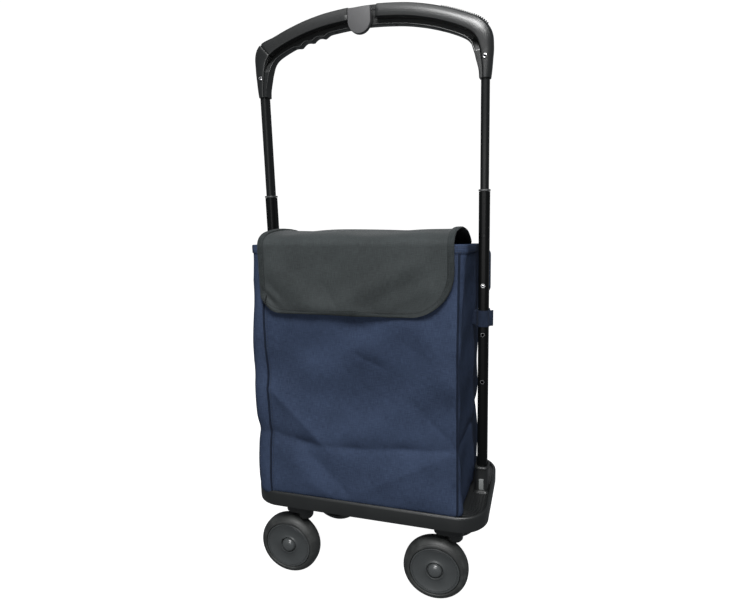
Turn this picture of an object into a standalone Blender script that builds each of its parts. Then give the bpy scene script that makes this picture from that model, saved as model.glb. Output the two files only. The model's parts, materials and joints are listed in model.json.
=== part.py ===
"""A four-wheeled shopping trolley with a telescopic handle and a fabric bag. Metres, +Z up, front -Y."""
import math

import bmesh
import bpy
import numpy as np
from mathutils import Matrix, Vector

# Overall sizes
TUBE_X = 0.1688            # distance of each upright from the middle
BASE_HALF_Y = 0.1005
UPRIGHT = 0.4555           # length of each outer tube
INNER_LENGTH = 0.350
BAG_HEIGHT = 0.3925
GAP = 0.0003               # clearance between neighbours

# Casters
WHEEL_R = 0.049
WHEEL_W = 0.0285
TYRE_DEPTH = 0.0118
HUB_R = WHEEL_R - TYRE_DEPTH
CAP_R = 0.0112
TRAIL = 0.010              # the axle lies this far behind the kingpin
KINGPIN_R = 0.004
AXLE_R = 0.004
WHEEL_ROOM = 0.025         # the tray's underside is this far over the wheels

# Section of the outer tubes
OUTER_X = 0.015
OUTER_Y = 0.021
OUTER_WALL = 0.0015

# Tray
BASE_HALF_X = TUBE_X + OUTER_X / 2 + 0.0083
BASE_CORNER = 0.044
BASE_BOTTOM = 2 * WHEEL_R + WHEEL_ROOM
BASE_TOP = BASE_BOTTOM + 0.024
TRAY_FLOOR = BASE_TOP - 0.006
RIM = 0.0045
DECK = 0.003
KINGPIN_X = BASE_HALF_X - 0.0651
KINGPIN_Y = BASE_HALF_Y - 0.0225
CROWN_TOP = BASE_BOTTOM - 0.0012
CROWN_BOTTOM = CROWN_TOP - 0.013
KNOB_X = 0.0192            # bearing head, on the side away from the wheel
KNOB_R = 0.0147
ARM_NEAR = WHEEL_W / 2 + 0.0015
ARM_FAR = ARM_NEAR + 0.0065
CASTERS = (("front_right", 1, -1, 2), ("front_left", -1, -1, 0), ("rear_right", 1, 1, 0),
           ("rear_left", -1, 1, 180))

# Uprights
OUTER_BOTTOM = TRAY_FLOOR + 0.0045
OUTER_TOP = OUTER_BOTTOM + UPRIGHT
HOLE_TOP = OUTER_TOP - 0.062
HOLE_PITCH = 0.0729
HOLE_R = 0.0025
PIN_R = 0.002
LOCK_Z = HOLE_TOP - HOLE_PITCH
INNER_X = OUTER_X - 2 * OUTER_WALL - 2 * GAP
INNER_Y = OUTER_Y - 2 * OUTER_WALL - 2 * GAP
INNER_WALL = 0.0012
INNER_BOTTOM = LOCK_Z - 0.0261
INNER_TOP = INNER_BOTTOM + INNER_LENGTH
BUSH_H = 0.0027
SOCKET_X = OUTER_X + 0.006
SOCKET_Y = OUTER_Y + 0.009
SOCKET_TOP = TRAY_FLOOR + 0.0435
LATCH_W = 0.0072
LATCH_H = 0.0175
LATCH_Z = TRAY_FLOOR + 0.015

# Handle: centre line, right half, from the foot of the leg to the middle: x, z, depth outward, depth inward
FOOT_Z = INNER_TOP - 0.037
CREST_Z = FOOT_Z + 0.099
LEG_DEPTH = INNER_X / 2 + 0.0021
RAIL = (
    (TUBE_X, FOOT_Z, LEG_DEPTH, LEG_DEPTH),
    (TUBE_X, FOOT_Z + 0.011, LEG_DEPTH + 0.0014, LEG_DEPTH + 0.0010),
    (TUBE_X - 0.0004, FOOT_Z + 0.025, LEG_DEPTH + 0.0030, LEG_DEPTH + 0.0042),
    (TUBE_X - 0.0016, FOOT_Z + 0.039, 0.0130, 0.0145),
    (TUBE_X - 0.0063, FOOT_Z + 0.053, 0.0165, 0.0150),
    (TUBE_X - 0.0158, FOOT_Z + 0.064, 0.0170, 0.0150),
    (TUBE_X - 0.0308, FOOT_Z + 0.0725, 0.0155, 0.0150),
    (TUBE_X - 0.0538, FOOT_Z + 0.0815, 0.0150, 0.0150),
    (TUBE_X - 0.0838, FOOT_Z + 0.090, 0.0150, 0.0150),
    (TUBE_X - 0.1188, FOOT_Z + 0.096, 0.0150, 0.0150),
    (0.0, CREST_Z, 0.0150, 0.0150),
)
SHELL_Y = 0.0128           # half depth of the grip
PARTING_Y = 0.0010
ELBOW_X = -TUBE_X + 0.0218
GRIP_END_X = -0.0253
WINDOW_X = 0.0168
TAB_X0 = GRIP_END_X + 0.001
TAB_X1 = TAB_X0 + 0.034
TAB_TOP = CREST_Z + 0.0095
TAB_PIVOT = (-0.0080, TAB_TOP - 0.0045)
BUMPS = (ELBOW_X + 0.038, ELBOW_X + 0.0585, ELBOW_X + 0.079)
BUMP_H = 0.0036
LEG_SCREW_Z = FOOT_Z + 0.027
LIP_SCREWS = (ELBOW_X + 0.028, -0.047, 0.047, TUBE_X - 0.0538)

# Bag
BAG_X = TUBE_X - OUTER_X / 2 - 0.0058
BAG_Y = BASE_HALF_Y - 0.0125
BAG_WALL = 0.0025
BAG_FRONT_TOP = TRAY_FLOOR + BAG_HEIGHT
BAG_REAR_TOP = BAG_FRONT_TOP - 0.014
FLAP_X = BAG_X - 0.012
FLAP_T = 0.002
FLAP_LOW = BAG_FRONT_TOP - 0.101
FLAP_HINGE = (BAG_Y - 0.0015, BAG_REAR_TOP + 0.0017)
POCKET_X = TUBE_X + 0.0012
POCKET_Z = (BAG_REAR_TOP - 0.0825, BAG_REAR_TOP - 0.0065)
STRAP_Z = (BAG_FRONT_TOP - 0.1285, BAG_FRONT_TOP - 0.1035)
STRAP_T = 0.0015


def material(name, colour, roughness, metallic=0.0):
    mat = bpy.data.materials.new(name)
    mat.use_nodes = True
    shader = mat.node_tree.nodes["Principled BSDF"]
    shader.inputs["Base Color"].default_value = (*colour, 1)
    shader.inputs["Roughness"].default_value = roughness
    shader.inputs["Metallic"].default_value = metallic
    return mat


def make(name, verts, faces, colour, roughness=0.5, metallic=0.0):
    """One object with its own material, made of the given points and faces, facing outward."""
    mesh = bpy.data.meshes.new(name)
    mesh.from_pydata([tuple(v) for v in verts], [], [tuple(f) for f in faces])
    shape = bmesh.new()
    shape.from_mesh(mesh)
    bmesh.ops.recalc_face_normals(shape, faces=shape.faces[:])
    shape.to_mesh(mesh)
    shape.free()
    obj = bpy.data.objects.new(name, mesh)
    bpy.context.scene.collection.objects.link(obj)
    if colour is None:
        obj.hide_render = True
        obj.display_type = "WIRE"
    else:
        mesh.materials.append(material(name, colour, roughness, metallic))
    return obj


def skin(rings, closed=True, caps=True):
    """Points and faces of a run of equal rings, capped at both ends or joined into a loop."""
    count = len(rings[0])
    verts = [p for ring in rings for p in ring]
    faces = []
    last = len(rings) - 1 if caps else len(rings)
    for i in range(last):
        a, b = i * count, (i + 1) % len(rings) * count
        for j in range(count if closed else count - 1):
            k = (j + 1) % count
            faces.append((a + j, a + k, b + k, b + j))
    if caps:
        faces.append(tuple(range(count)))
        faces.append(tuple(range(len(verts) - count, len(verts))))
    return verts, faces


def box_ring(hx, hy, radius, steps=4):
    """Outline of a rounded rectangle, counter-clockwise."""
    points = []
    for sx, sy, start in ((1, 1, 0), (-1, 1, 90), (-1, -1, 180), (1, -1, 270)):
        for i in range(steps + 1):
            angle = math.radians(start + 90 * i / steps)
            points.append((sx * (hx - radius) + radius * math.cos(angle),
                           sy * (hy - radius) + radius * math.sin(angle)))
    return points


def disc_ring(radius, count):
    return [(radius * math.cos(2 * math.pi * i / count),
             radius * math.sin(2 * math.pi * i / count)) for i in range(count)]


def hull(points):
    """Convex outline of flat points, counter-clockwise."""
    points = sorted(set((round(x, 7), round(y, 7)) for x, y in points))
    halves = []
    for run in (points, points[::-1]):
        side = []
        for p in run:
            while len(side) > 1:
                (ax, ay), (bx, by) = side[-2], side[-1]
                if (bx - ax) * (p[1] - ay) - (by - ay) * (p[0] - ax) > 1e-12:
                    break
                side.pop()
            side.append(p)
        halves.append(side[:-1])
    return halves[0] + halves[1]


def prism(name, outline, z0, z1, colour, roughness=0.5, metallic=0.0, centre=(0, 0), bevel=0.0):
    """Upright prism on a flat outline, its top and bottom edges broken by a small chamfer."""
    middle = np.mean(outline, axis=0)
    small = [(x - bevel * math.copysign(1, x - middle[0]) * (abs(x - middle[0]) > bevel),
              y - bevel * math.copysign(1, y - middle[1]) * (abs(y - middle[1]) > bevel)) for x,
              y in outline]
    levels = [(small, z0), (outline, z0 + bevel), (outline, z1 - bevel),
              (small, z1)] if bevel else [(outline, z0), (outline, z1)]
    rings = [[(centre[0] + x, centre[1] + y, z) for x, y in ring] for ring, z in levels]
    return make(name, *skin(rings), colour, roughness, metallic)


def lathe(name, profile, colour, count=28, roughness=0.5, metallic=0.0):
    """Closed ring of the (radius, height) profile about Z. A profile on the axis closes there."""
    on_axis = [i for i, (r, _) in enumerate(profile) if r == 0]
    verts, faces, index = [], [], []
    for i, (r, z) in enumerate(profile):
        index.append(len(verts))
        verts += [(0, 0, z)] if i in on_axis else [(x, y, z) for x, y in disc_ring(r, count)]
    for i in range(len(profile)):
        k = (i + 1) % len(profile)
        if i in on_axis and k in on_axis:
            continue
        for j in range(count):
            m = (j + 1) % count
            a = [index[i]] if i in on_axis else [index[i] + j, index[i] + m]
            b = [index[k]] if k in on_axis else [index[k] + m, index[k] + j]
            faces.append(a + b)
    return make(name, verts, faces, colour, roughness, metallic)


def place(obj, matrix):
    """Moves the object's own points."""
    obj.data.transform(matrix)
    if matrix.determinant() < 0:
        obj.data.flip_normals()
    obj.data.update()
    return obj


def combine(obj, other, operation):
    step = obj.modifiers.new(operation.lower(), "BOOLEAN")
    step.operation = operation
    step.solver = "EXACT"
    step.object = other
    graph = bpy.context.evaluated_depsgraph_get()
    mesh = bpy.data.meshes.new_from_object(obj.evaluated_get(graph))
    obj.modifiers.clear()
    old = obj.data
    obj.data = mesh
    bpy.data.meshes.remove(old)
    bpy.data.objects.remove(other)
    return obj


def cut(obj, *cutters):
    for cutter in cutters:
        combine(obj, cutter, "DIFFERENCE")
    return obj


def join(obj, *others):
    for other in others:
        combine(obj, other, "UNION")
    return obj


def block(x0, x1, y0, y1, z0, z1):
    return prism("cutter", [(x0, y0), (x1, y0), (x1, y1), (x0, y1)], z0, z1, None)


def rod(name, start, end, radius, colour=None, count=16, roughness=0.35, metallic=0.9):
    """Round bar between two points."""
    start, end = Vector(start), Vector(end)
    turn = (end - start).to_track_quat("Z", "Y").to_matrix().to_4x4()
    bar = prism(name, disc_ring(radius, count), 0, (end - start).length, colour, roughness, metallic)
    return place(bar, Matrix.Translation(start) @ turn)


def origin(obj, point):
    """Puts the object's origin on its joint axis."""
    point = Vector(point)
    obj.data.transform(Matrix.Translation(-point))
    obj.location = point


BLACK = (0.018, 0.019, 0.020)
STEEL = (0.55, 0.56, 0.57)
NAVY = (0.012, 0.018, 0.055)


def base():
    """Tray with a raised rim, hollow under the deck, with a boss over each kingpin."""
    outline = box_ring(BASE_HALF_X, BASE_HALF_Y, BASE_CORNER, 8)
    tray = prism("base_tray", outline, BASE_BOTTOM, BASE_TOP, BLACK, 0.55, bevel=0.0012)
    inside = box_ring(BASE_HALF_X - RIM, BASE_HALF_Y - RIM, BASE_CORNER - RIM, 8)
    cut(tray, prism("cutter", inside, TRAY_FLOOR, BASE_TOP + 0.01, None))
    cut(tray, prism("cutter", inside, BASE_BOTTOM - 0.01, TRAY_FLOOR - DECK, None))
    for _, sx, sy, _ in CASTERS:
        centre = (sx * KINGPIN_X, sy * KINGPIN_Y)
        join(tray, prism("boss", disc_ring(0.0125, 24), BASE_BOTTOM, TRAY_FLOOR - DECK / 2, None,
                         centre=centre))
        cut(tray, prism("bore", disc_ring(KINGPIN_R + GAP, 16), BASE_BOTTOM - 0.01, TRAY_FLOOR - DECK,
                        None, centre=centre))


def kingpin(name):
    """Steel pin with a head, on which the fork turns."""
    top = TRAY_FLOOR - DECK - GAP
    head = CROWN_BOTTOM - GAP
    profile = [(0, top), (KINGPIN_R, top), (KINGPIN_R, head), (0.0056, head), (0.0056, head - 0.0022),
               (0, head - 0.0032)]
    return lathe(name, profile, STEEL, 16, 0.35, 0.9)


def fork(name):
    """Crown over the wheel, bearing head, and one arm down to the axle behind the wheel."""
    outline = hull([*disc_ring(0.0125, 24), *[(x + KNOB_X, y) for x, y in disc_ring(KNOB_R - 0.001, 24)],
                    (-0.008, ARM_FAR), (KNOB_X + 0.007, ARM_FAR)])
    crown = prism(name, outline, CROWN_BOTTOM, CROWN_TOP, BLACK, 0.5)
    low = CROWN_BOTTOM - 0.0120
    head = lathe("head", [(0, low), (0.0085, low + 0.0008), (0.0118, low + 0.0045),
                          (0.0128, CROWN_BOTTOM + 0.0010),
                          (KNOB_R, CROWN_TOP - 0.0030), (KNOB_R - 0.0006, CROWN_TOP + 0.0005),
                          (0, CROWN_TOP + 0.0005)], None, 22)
    join(crown, place(head, Matrix.Translation((KNOB_X, 0, 0))))
    foot = [(x - TRAIL, z + WHEEL_R) for x, z in disc_ring(0.0105, 24)]
    top = CROWN_TOP - 0.0035
    side = hull([*foot, (-0.0060, top), (KNOB_X + 0.0045, top), (KNOB_X + 0.0045, CROWN_BOTTOM - 0.002)])
    arm = prism("arm", side, -ARM_FAR + 0.0007, -ARM_NEAR, None)
    join(crown, place(arm, Matrix.Rotation(math.pi / 2, 4, "X")))
    cut(crown, prism("bore", disc_ring(KINGPIN_R + GAP, 16), CROWN_BOTTOM - 0.01, CROWN_TOP + 0.01, None))
    seat = rod("seat", (-TRAIL, ARM_FAR - 0.0032, WHEEL_R), (-TRAIL, 0.05, WHEEL_R), 0.0068 + GAP, count=20)
    return cut(crown, seat, rod("bore", (-TRAIL, 0, WHEEL_R), (-TRAIL, 0.05, WHEEL_R), AXLE_R + GAP))


def wheel_turn():
    """Turns a lathed shape so that its +Z end faces -Y, on the axle."""
    return Matrix.Translation((-TRAIL, 0, WHEEL_R)) @ Matrix.Rotation(math.pi / 2, 4, "X")


def axle(name):
    profile = [(0, WHEEL_W / 2 - 0.0075), (AXLE_R, WHEEL_W / 2 - 0.0075), (AXLE_R, -ARM_FAR + 0.0029),
               (0.0068, -ARM_FAR + 0.0029),
               (0.0068, -ARM_FAR + 0.0014), (0, -ARM_FAR + 0.0009)]
    return place(lathe(name, profile, STEEL, 16, 0.3, 0.9), wheel_turn())


def tyre(name):
    half = WHEEL_W / 2
    seat = HUB_R + GAP
    profile = [(seat, half - 0.0015), (seat + 0.0025, half), (seat + 0.0065, half - 0.001),
               (WHEEL_R - 0.0012, half - 0.0055),
               (WHEEL_R, half - 0.0105), (WHEEL_R, -half + 0.0105), (WHEEL_R - 0.0012, -half + 0.0055),
               (seat + 0.0065, -half + 0.001), (seat, -half + 0.0015)]
    return place(lathe(name, profile, (0.016, 0.017, 0.018), 32, 0.7), wheel_turn())


def hub(name):
    half = WHEEL_W / 2
    bore = AXLE_R + GAP
    profile = [(bore, half - 0.0065), (CAP_R + 0.0012, half - 0.0065), (CAP_R + 0.0022, half - 0.0022),
               (0.0200, half - 0.0028),
               (HUB_R - 0.0040, half - 0.0012), (HUB_R, half - 0.0020), (HUB_R, -half + 0.0020),
               (HUB_R - 0.0060, -half + 0.0020),
               (0.0120, -half + 0.0045), (0.0100, -half + 0.0006), (bore, -half + 0.0006)]
    return place(lathe(name, profile, BLACK, 28, 0.4), wheel_turn())


def cap(name):
    base_z = WHEEL_W / 2 - 0.0065 + GAP
    profile = [(0, base_z), (CAP_R, base_z), (CAP_R, base_z + 0.0022), (0.0085, base_z + 0.0050),
               (0.0045, base_z + 0.0066),
               (0, base_z + 0.0072)]
    return place(lathe(name, profile, (0.03, 0.031, 0.033), 16, 0.25), wheel_turn())


def caster(name, sx, sy, turn):
    """All the pieces of one caster, on its kingpin and turned about it."""
    pivot = Vector((sx * KINGPIN_X, sy * KINGPIN_Y, 0))
    spot = Matrix.Translation(pivot) @ Matrix.Rotation(math.radians(turn), 4, "Z")
    axle_point = spot @ Vector((-TRAIL, 0, WHEEL_R))
    for make_piece, label, point in ((kingpin, "kingpin", pivot), (fork, "fork", pivot),
                                     (axle, "axle", axle_point),
                                     (tyre, "tyre", axle_point), (hub, "hub", axle_point),
                                     (cap, "hub_cap", axle_point)):
        piece = make_piece(name + "_" + label)
        place(piece, spot)
        origin(piece, point)


def tube(name, hx, hy, wall, z0, z1, colour):
    """Rounded rectangular tube, open at both ends."""
    rings = []
    for shrink, z in ((0, z0), (0, z1), (wall, z1), (wall, z0)):
        rings.append([(x, y, z) for x, y in box_ring(hx - shrink, hy - shrink,
                                                     min(hx, hy) * 0.72 - shrink)])
    return make(name, *skin(rings, caps=False), colour, 0.4)


def side_of(sx):
    return "right" if sx > 0 else "left"


def uprights(sx):
    """Outer tube, its bush, its socket and latch, the inner tube and its lock pin, on one side."""
    side = side_of(sx)
    shift = Matrix.Translation((sx * TUBE_X, 0, 0))
    outer = place(tube("outer_tube_" + side, OUTER_X / 2, OUTER_Y / 2, OUTER_WALL, OUTER_BOTTOM,
                       OUTER_TOP, BLACK), shift)
    for i in range(4):
        z = HOLE_TOP - i * HOLE_PITCH
        cut(outer, rod("hole", (sx * TUBE_X, -0.03, z), (sx * TUBE_X, -0.002, z), HOLE_R))
    place(tube("bush_" + side, OUTER_X / 2 + 0.0004, OUTER_Y / 2 + 0.0004, OUTER_WALL + 0.0004,
               OUTER_TOP + GAP,
               OUTER_TOP + GAP + BUSH_H, (0.09, 0.092, 0.095)), shift)
    inner = place(tube("inner_tube_" + side, INNER_X / 2, INNER_Y / 2, INNER_WALL, INNER_BOTTOM,
                       INNER_TOP, BLACK), shift)
    front = -INNER_Y / 2
    cut(inner, rod("hole", (sx * TUBE_X, -0.03, LOCK_Z), (sx * TUBE_X, -0.002, LOCK_Z), PIN_R + GAP))
    cut(inner, rod("hole", (sx * TUBE_X, -0.03, LEG_SCREW_Z), (sx * TUBE_X, -0.002, LEG_SCREW_Z), 0.0019))
    pin = rod("lock_pin_" + side, (sx * TUBE_X, front, LOCK_Z), (sx * TUBE_X, front + 0.005, LOCK_Z),
              PIN_R, STEEL, 12)
    origin(pin, (sx * TUBE_X, front, LOCK_Z))
    outline = box_ring(SOCKET_X / 2, SOCKET_Y / 2, 0.0068)
    socket = place(prism("socket_" + side, outline, TRAY_FLOOR + GAP, SOCKET_TOP, BLACK, 0.5,
                         bevel=0.001), shift)
    bore = box_ring(OUTER_X / 2 + GAP, OUTER_Y / 2 + GAP, OUTER_X / 2 * 0.72)
    cut(socket, place(prism("bore", bore, TRAY_FLOOR + 0.004, SOCKET_TOP + 0.01, None), shift))
    low, high = LATCH_Z - LATCH_H / 2, LATCH_Z + LATCH_H / 2
    middle = sx * TUBE_X
    cut(socket, block(middle - LATCH_W / 2 - GAP, middle + LATCH_W / 2 + GAP, -0.03, -0.005, low - GAP,
                      high + GAP))
    face = [(middle - LATCH_W / 2, low), (middle + LATCH_W / 2, low), (middle + LATCH_W / 2, high),
            (middle - LATCH_W / 2, high)]
    latch = prism("latch_" + side, face, SOCKET_Y / 2 - 0.0024, SOCKET_Y / 2 + 0.0007,
                  (0.16, 0.162, 0.165), 0.45)
    place(latch, Matrix.Rotation(math.pi / 2, 4, "X"))
    origin(latch, (middle, -SOCKET_Y / 2, LATCH_Z))


def rail_line():
    """Dense centre line of the handle, left foot to right: x, z, outward, inward and the outward normal."""
    half = np.array(RAIL)
    whole = np.vstack([half * (-1, 1, 1, 1), half[-2::-1]])
    fine = []
    for i in range(len(whole) - 1):
        a, b = whole[i], whole[i + 1]
        before = whole[i - 1] if i else 2 * a - b
        after = whole[i + 2] if i + 2 < len(whole) else 2 * b - a
        pieces = 7 if ELBOW_X + 0.017 < a[0] < GRIP_END_X - 0.0125 else 3
        for t in np.arange(pieces) / pieces:
            fine.append(0.5 * (2 * a + (b - before) * t + (2 * before - 5 * a + 4 * b - after) * t * t
                               + (3 * a - before - 3 * b + after) * t ** 3))
    fine.append(whole[-1])
    line = np.array(fine)
    along = np.gradient(line[:, :2], axis=0)
    along[0] = (0, 1)
    along[-1] = (0, -1)
    along /= np.linalg.norm(along, axis=1)[:, None]
    return np.hstack([line, -along[:, 1:2], along[:, 0:1]])


def rail_points(x0, x1):
    """Stations of the centre line between two x values. None means the foot of that side's leg."""
    line = rail_line()
    first, last = 0, len(line) - 1
    arch = (line[:, 1] > FOOT_Z + 0.047) & (np.abs(line[:, 0]) < TUBE_X - 0.004)
    arch_index = np.nonzero(arch)[0]
    stations = []

    def at(x):
        xs = line[arch_index, 0]
        return np.array([np.interp(x, xs, line[arch_index, k]) for k in range(6)])

    if x0 is not None:
        first = next(i for i in arch_index if line[i, 0] > x0 + 0.0008)
        stations.append(at(x0))
    if x1 is not None:
        last = next(i for i in reversed(arch_index) if line[i, 0] < x1 - 0.0008)
    stations += [line[i] for i in range(first, last + 1)]
    if x1 is not None:
        stations.append(at(x1))
    return stations


def leg_share(z):
    """0 on the arch, 1 on the legs."""
    return float(np.clip((FOOT_Z + 0.059 - z) / 0.022, 0, 1))


def bump(x, z):
    if z < FOOT_Z + 0.047:
        return 0.0
    return sum(BUMP_H * max(0.0, 1 - abs(x - b) / 0.0095) ** 1.4 for b in BUMPS)


def front_section(x, z):
    share = leg_share(z)
    deep = SHELL_Y * (1 - 0.10 * share)
    return [(0.985, PARTING_Y - GAP), (0.95, -0.35 * deep), (0.80, -0.69 * deep), (0.38, -0.94 * deep),
            (0.0, -deep),
            (-0.26, -0.94 * deep), (-0.36, -0.82 * deep), (-0.36, PARTING_Y - GAP)], 0.0


def rear_section(x, z):
    share = leg_share(z)
    deep = SHELL_Y * (1 - 0.10 * share)
    lip = -0.0065 * (1 - share) - 0.0106 * share
    floor = 0.0004 * (1 - share) - 0.0100 * share
    return [(0.985, PARTING_Y), (0.95, 0.47 * deep), (0.78, 0.82 * deep), (0.30, deep), (-0.45, deep),
            (-0.85, 0.82 * deep),
            (-1.0, 0.47 * deep), (-1.0, lip + 0.0015), (-0.95, lip), (-0.84, lip), (-0.81, floor),
            (-0.41, floor),
            (-0.41, PARTING_Y)], bump(x, z)


def shell(name, section, x0, x1, colour):
    """One handle moulding, swept along the centre line."""
    rings = []
    for x, z, outward, inward, nx, nz in rail_points(x0, x1):
        points, extra = section(x, z)
        ring = []
        for u, v in points:
            reach = u * (outward if u > 0 else inward) - (extra if u < -0.8 else 0)
            ring.append((x + nx * reach, v, z + nz * reach))
        rings.append(ring)
    return make(name, *skin(rings), colour, 0.5)


def leg_bore(sx):
    outline = box_ring(INNER_X / 2 + GAP, INNER_Y / 2 + GAP, INNER_X / 2 * 0.72)
    return prism("bore", outline, FOOT_Z - 0.02, INNER_TOP + GAP, None, centre=(sx * TUBE_X, 0))


def leg_screw_hole(sx):
    head = rod("hole", (sx * TUBE_X, -0.03, LEG_SCREW_Z), (sx * TUBE_X, -SHELL_Y + 0.0030, LEG_SCREW_Z),
               0.0038)
    shank = rod("hole", (sx * TUBE_X, -0.03, LEG_SCREW_Z), (sx * TUBE_X, -0.004, LEG_SCREW_Z), 0.0019)
    return head, shank


def lip_frame(x):
    """Point on the underside of the rear moulding and the direction into it."""
    x, z, _, inward, nx, nz = rail_points(x, x + 0.02)[0]
    return Vector((x - nx * inward, -0.0015, z - nz * inward)), Vector((nx, 0, nz))


def handle():
    """Rear moulding, three front mouldings, release tab on its pivot, and the screws."""
    rear = shell("handle_rear_shell", rear_section, None, None, BLACK)
    elbow = shell("handle_left_elbow", front_section, None, ELBOW_X - GAP, BLACK)
    grip = shell("handle_grip", front_section, ELBOW_X, GRIP_END_X, (0.03, 0.031, 0.032))
    right = shell("handle_right_shell", front_section, WINDOW_X, None, BLACK)
    for sx in (-1, 1):
        cut(rear, leg_bore(sx))
        front = right if sx > 0 else elbow
        cut(front, leg_bore(sx), *leg_screw_hole(sx))
        head = -SHELL_Y + 0.0026
        screw = lathe("leg_screw_" + side_of(sx), [(0, 0), (0.0017, 0), (0.0017, 0.0055),
                                                   (0.0035, 0.0055), (0.0035, 0.0070),
                      (0.0026, 0.0078), (0.0013, 0.0078), (0.0013, 0.0062), (0, 0.0062)], STEEL, 16, 0.3,
                      0.95)
        place(screw, Matrix.Translation((sx * TUBE_X, head + 0.0055,
                                         LEG_SCREW_Z)) @ Matrix.Rotation(math.pi / 2, 4, "X"))
    cut(rear, block(TAB_X0 - 0.001, TAB_X1 + 0.001, -0.03, PARTING_Y - 0.0002, TAB_TOP - 0.0430,
                    TAB_TOP - 0.0150))
    for i, x in enumerate(LIP_SCREWS):
        foot, inward = lip_frame(x)
        cut(rear, rod("hole", foot - inward * 0.01, foot + inward * 0.0022, 0.0026, count=12))
        rod("lip_screw_%d" % (i + 1), foot + inward * 0.0004, foot + inward * 0.0019, 0.0022, STEEL, 12)
    y, z = TAB_PIVOT
    for piece in (grip, right):
        cut(piece, rod("hole", (GRIP_END_X - 0.002, y, z), (WINDOW_X + 0.002, y, z), 0.0012 + GAP,
                       count=12))
    rod("tab_pivot", (GRIP_END_X - 0.0015, y, z), (WINDOW_X + 0.0015, y, z), 0.0012, STEEL, 12)
    middle, half = (TAB_X0 + TAB_X1) / 2, (TAB_X1 - TAB_X0) / 2
    low = TAB_TOP - 0.0183
    outline = [(middle + half * math.cos(math.pi * (1 + i / 16)),
                low + half * math.sin(math.pi * (1 + i / 16))) for i in range(17)]
    outline += [(TAB_X1, TAB_TOP), (TAB_X0, TAB_TOP)]
    tab = place(prism("release_tab", outline, 0.0052, 0.0138, (0.165, 0.165, 0.168), 0.6),
                Matrix.Rotation(math.pi / 2, 4, "X"))
    cut(tab, rod("hole", (TAB_X0 - 0.01, y, z), (TAB_X1 + 0.01, y, z), 0.0012 + GAP, count=12))
    origin(tab, (middle, y, z))


def bag_rings(shrink, floor_z):
    """Outlines of the bag from its floor up to its sloping mouth."""
    rings = []
    height = BAG_FRONT_TOP - TRAY_FLOOR
    for up, sx, sy in ((0, 0.0165, 0.0105), (0.010, 0.008, 0.0045), (0.035, 0.003, 0.0015),
                       (0.4 * height, 0, 0),
                       (height, 0, 0)):
        ring = []
        for x, y in box_ring(BAG_X - sx - shrink, BAG_Y - sy - shrink, 0.018 - shrink):
            top = np.interp(y, (-BAG_Y, BAG_Y), (BAG_FRONT_TOP, BAG_REAR_TOP))
            z = top if up == height else TRAY_FLOOR + floor_z + up * (height - floor_z) / height
            ring.append((x, y, z))
        rings.append(ring)
    return rings


def bag():
    """Box bag open at the top, its board, the pocket behind it and the straps round the uprights."""
    rings = bag_rings(0, GAP) + bag_rings(BAG_WALL, GAP + BAG_WALL)[::-1]
    make("bag_body", *skin(rings), NAVY, 0.9)
    board = box_ring(BAG_X - 0.0245, BAG_Y - 0.0180, 0.014)
    prism("bag_board", board, TRAY_FLOOR + BAG_WALL + 2 * GAP, TRAY_FLOOR + BAG_WALL + 0.0034,
          (0.03, 0.03, 0.03), 0.9)
    low, high = POCKET_Z
    outline = box_ring(POCKET_X, (high - low) / 2, 0.012)
    pocket = prism("rear_pocket", outline, -BASE_HALF_Y + 0.0012, -BAG_Y - GAP, NAVY, 0.9, bevel=0.0015)
    place(pocket, Matrix.Translation((0, 0, (high + low) / 2)) @ Matrix.Rotation(math.pi / 2, 4, "X"))


def flap():
    """Curved sheet from the rear edge of the mouth over the top and down the front."""
    top = BAG_FRONT_TOP
    line = [(BAG_Y - 0.0020, BAG_REAR_TOP + 0.0008), (BAG_Y - 0.020, top - 0.0030),
            (BAG_Y - 0.048, top + 0.0065),
            (BAG_Y - 0.083, top + 0.0115), (-BAG_Y + 0.053, top + 0.0130), (-BAG_Y + 0.023, top + 0.0120),
            (-BAG_Y + 0.008, top + 0.0090), (-BAG_Y, top + 0.0025), (-BAG_Y - 0.0012, top - 0.0065),
            (-BAG_Y - 0.0012, top - 0.0435), (-BAG_Y - 0.0012, FLAP_LOW)]
    line = np.array(line)
    along = np.gradient(line, axis=0)
    along /= np.linalg.norm(along, axis=1)[:, None]
    out = line + FLAP_T * np.stack([along[:, 1], -along[:, 0]], axis=1)
    rings = [[(-FLAP_X, *a), (FLAP_X, *a), (FLAP_X, *b), (-FLAP_X, *b)] for a, b in zip(line, out)]
    sheet = make("bag_flap", *skin(rings), (0.014, 0.018, 0.018), 0.85)
    origin(sheet, (0, *FLAP_HINGE))


def strap(sx):
    """Band round an outer tube with its free end outward and a short tail to the side of the bag."""
    rings = []
    low, high = STRAP_Z
    for grow, z in ((GAP, low), (GAP, high), (GAP + STRAP_T, high), (GAP + STRAP_T, low)):
        rings.append([(sx * TUBE_X + x, y, z) for x, y in box_ring(OUTER_X / 2 + grow, OUTER_Y / 2 + grow,
                                                                   OUTER_X / 2 * 0.72 + grow)])
    band = make("strap_" + side_of(sx), *skin(rings, caps=False), NAVY, 0.9)
    edge = TUBE_X + OUTER_X / 2 + GAP
    inner_end = TUBE_X - OUTER_X / 2 - GAP - STRAP_T / 2
    ends = ((BAG_X + GAP, inner_end), (edge + STRAP_T / 2, BASE_HALF_X - 0.0012))
    for x0, x1 in ends:
        x0, x1 = sorted((sx * x0, sx * x1))
        join(band, block(x0, x1, -0.0012, 0.0012, low + 0.0005, high - 0.0005))


def main():
    for obj in list(bpy.data.objects):
        bpy.data.objects.remove(obj)
    base()
    for spec in CASTERS:
        caster(*spec)
    for sx in (-1, 1):
        uprights(sx)
        strap(sx)
    handle()
    bag()
    flap()


main()
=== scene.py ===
"""Shopping trolley: moulded tray on four casters, telescopic arched handle and a soft box bag with a flap."""

import json
import math

import bmesh
import bpy
import numpy as np
from mathutils import Matrix, Vector


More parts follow.
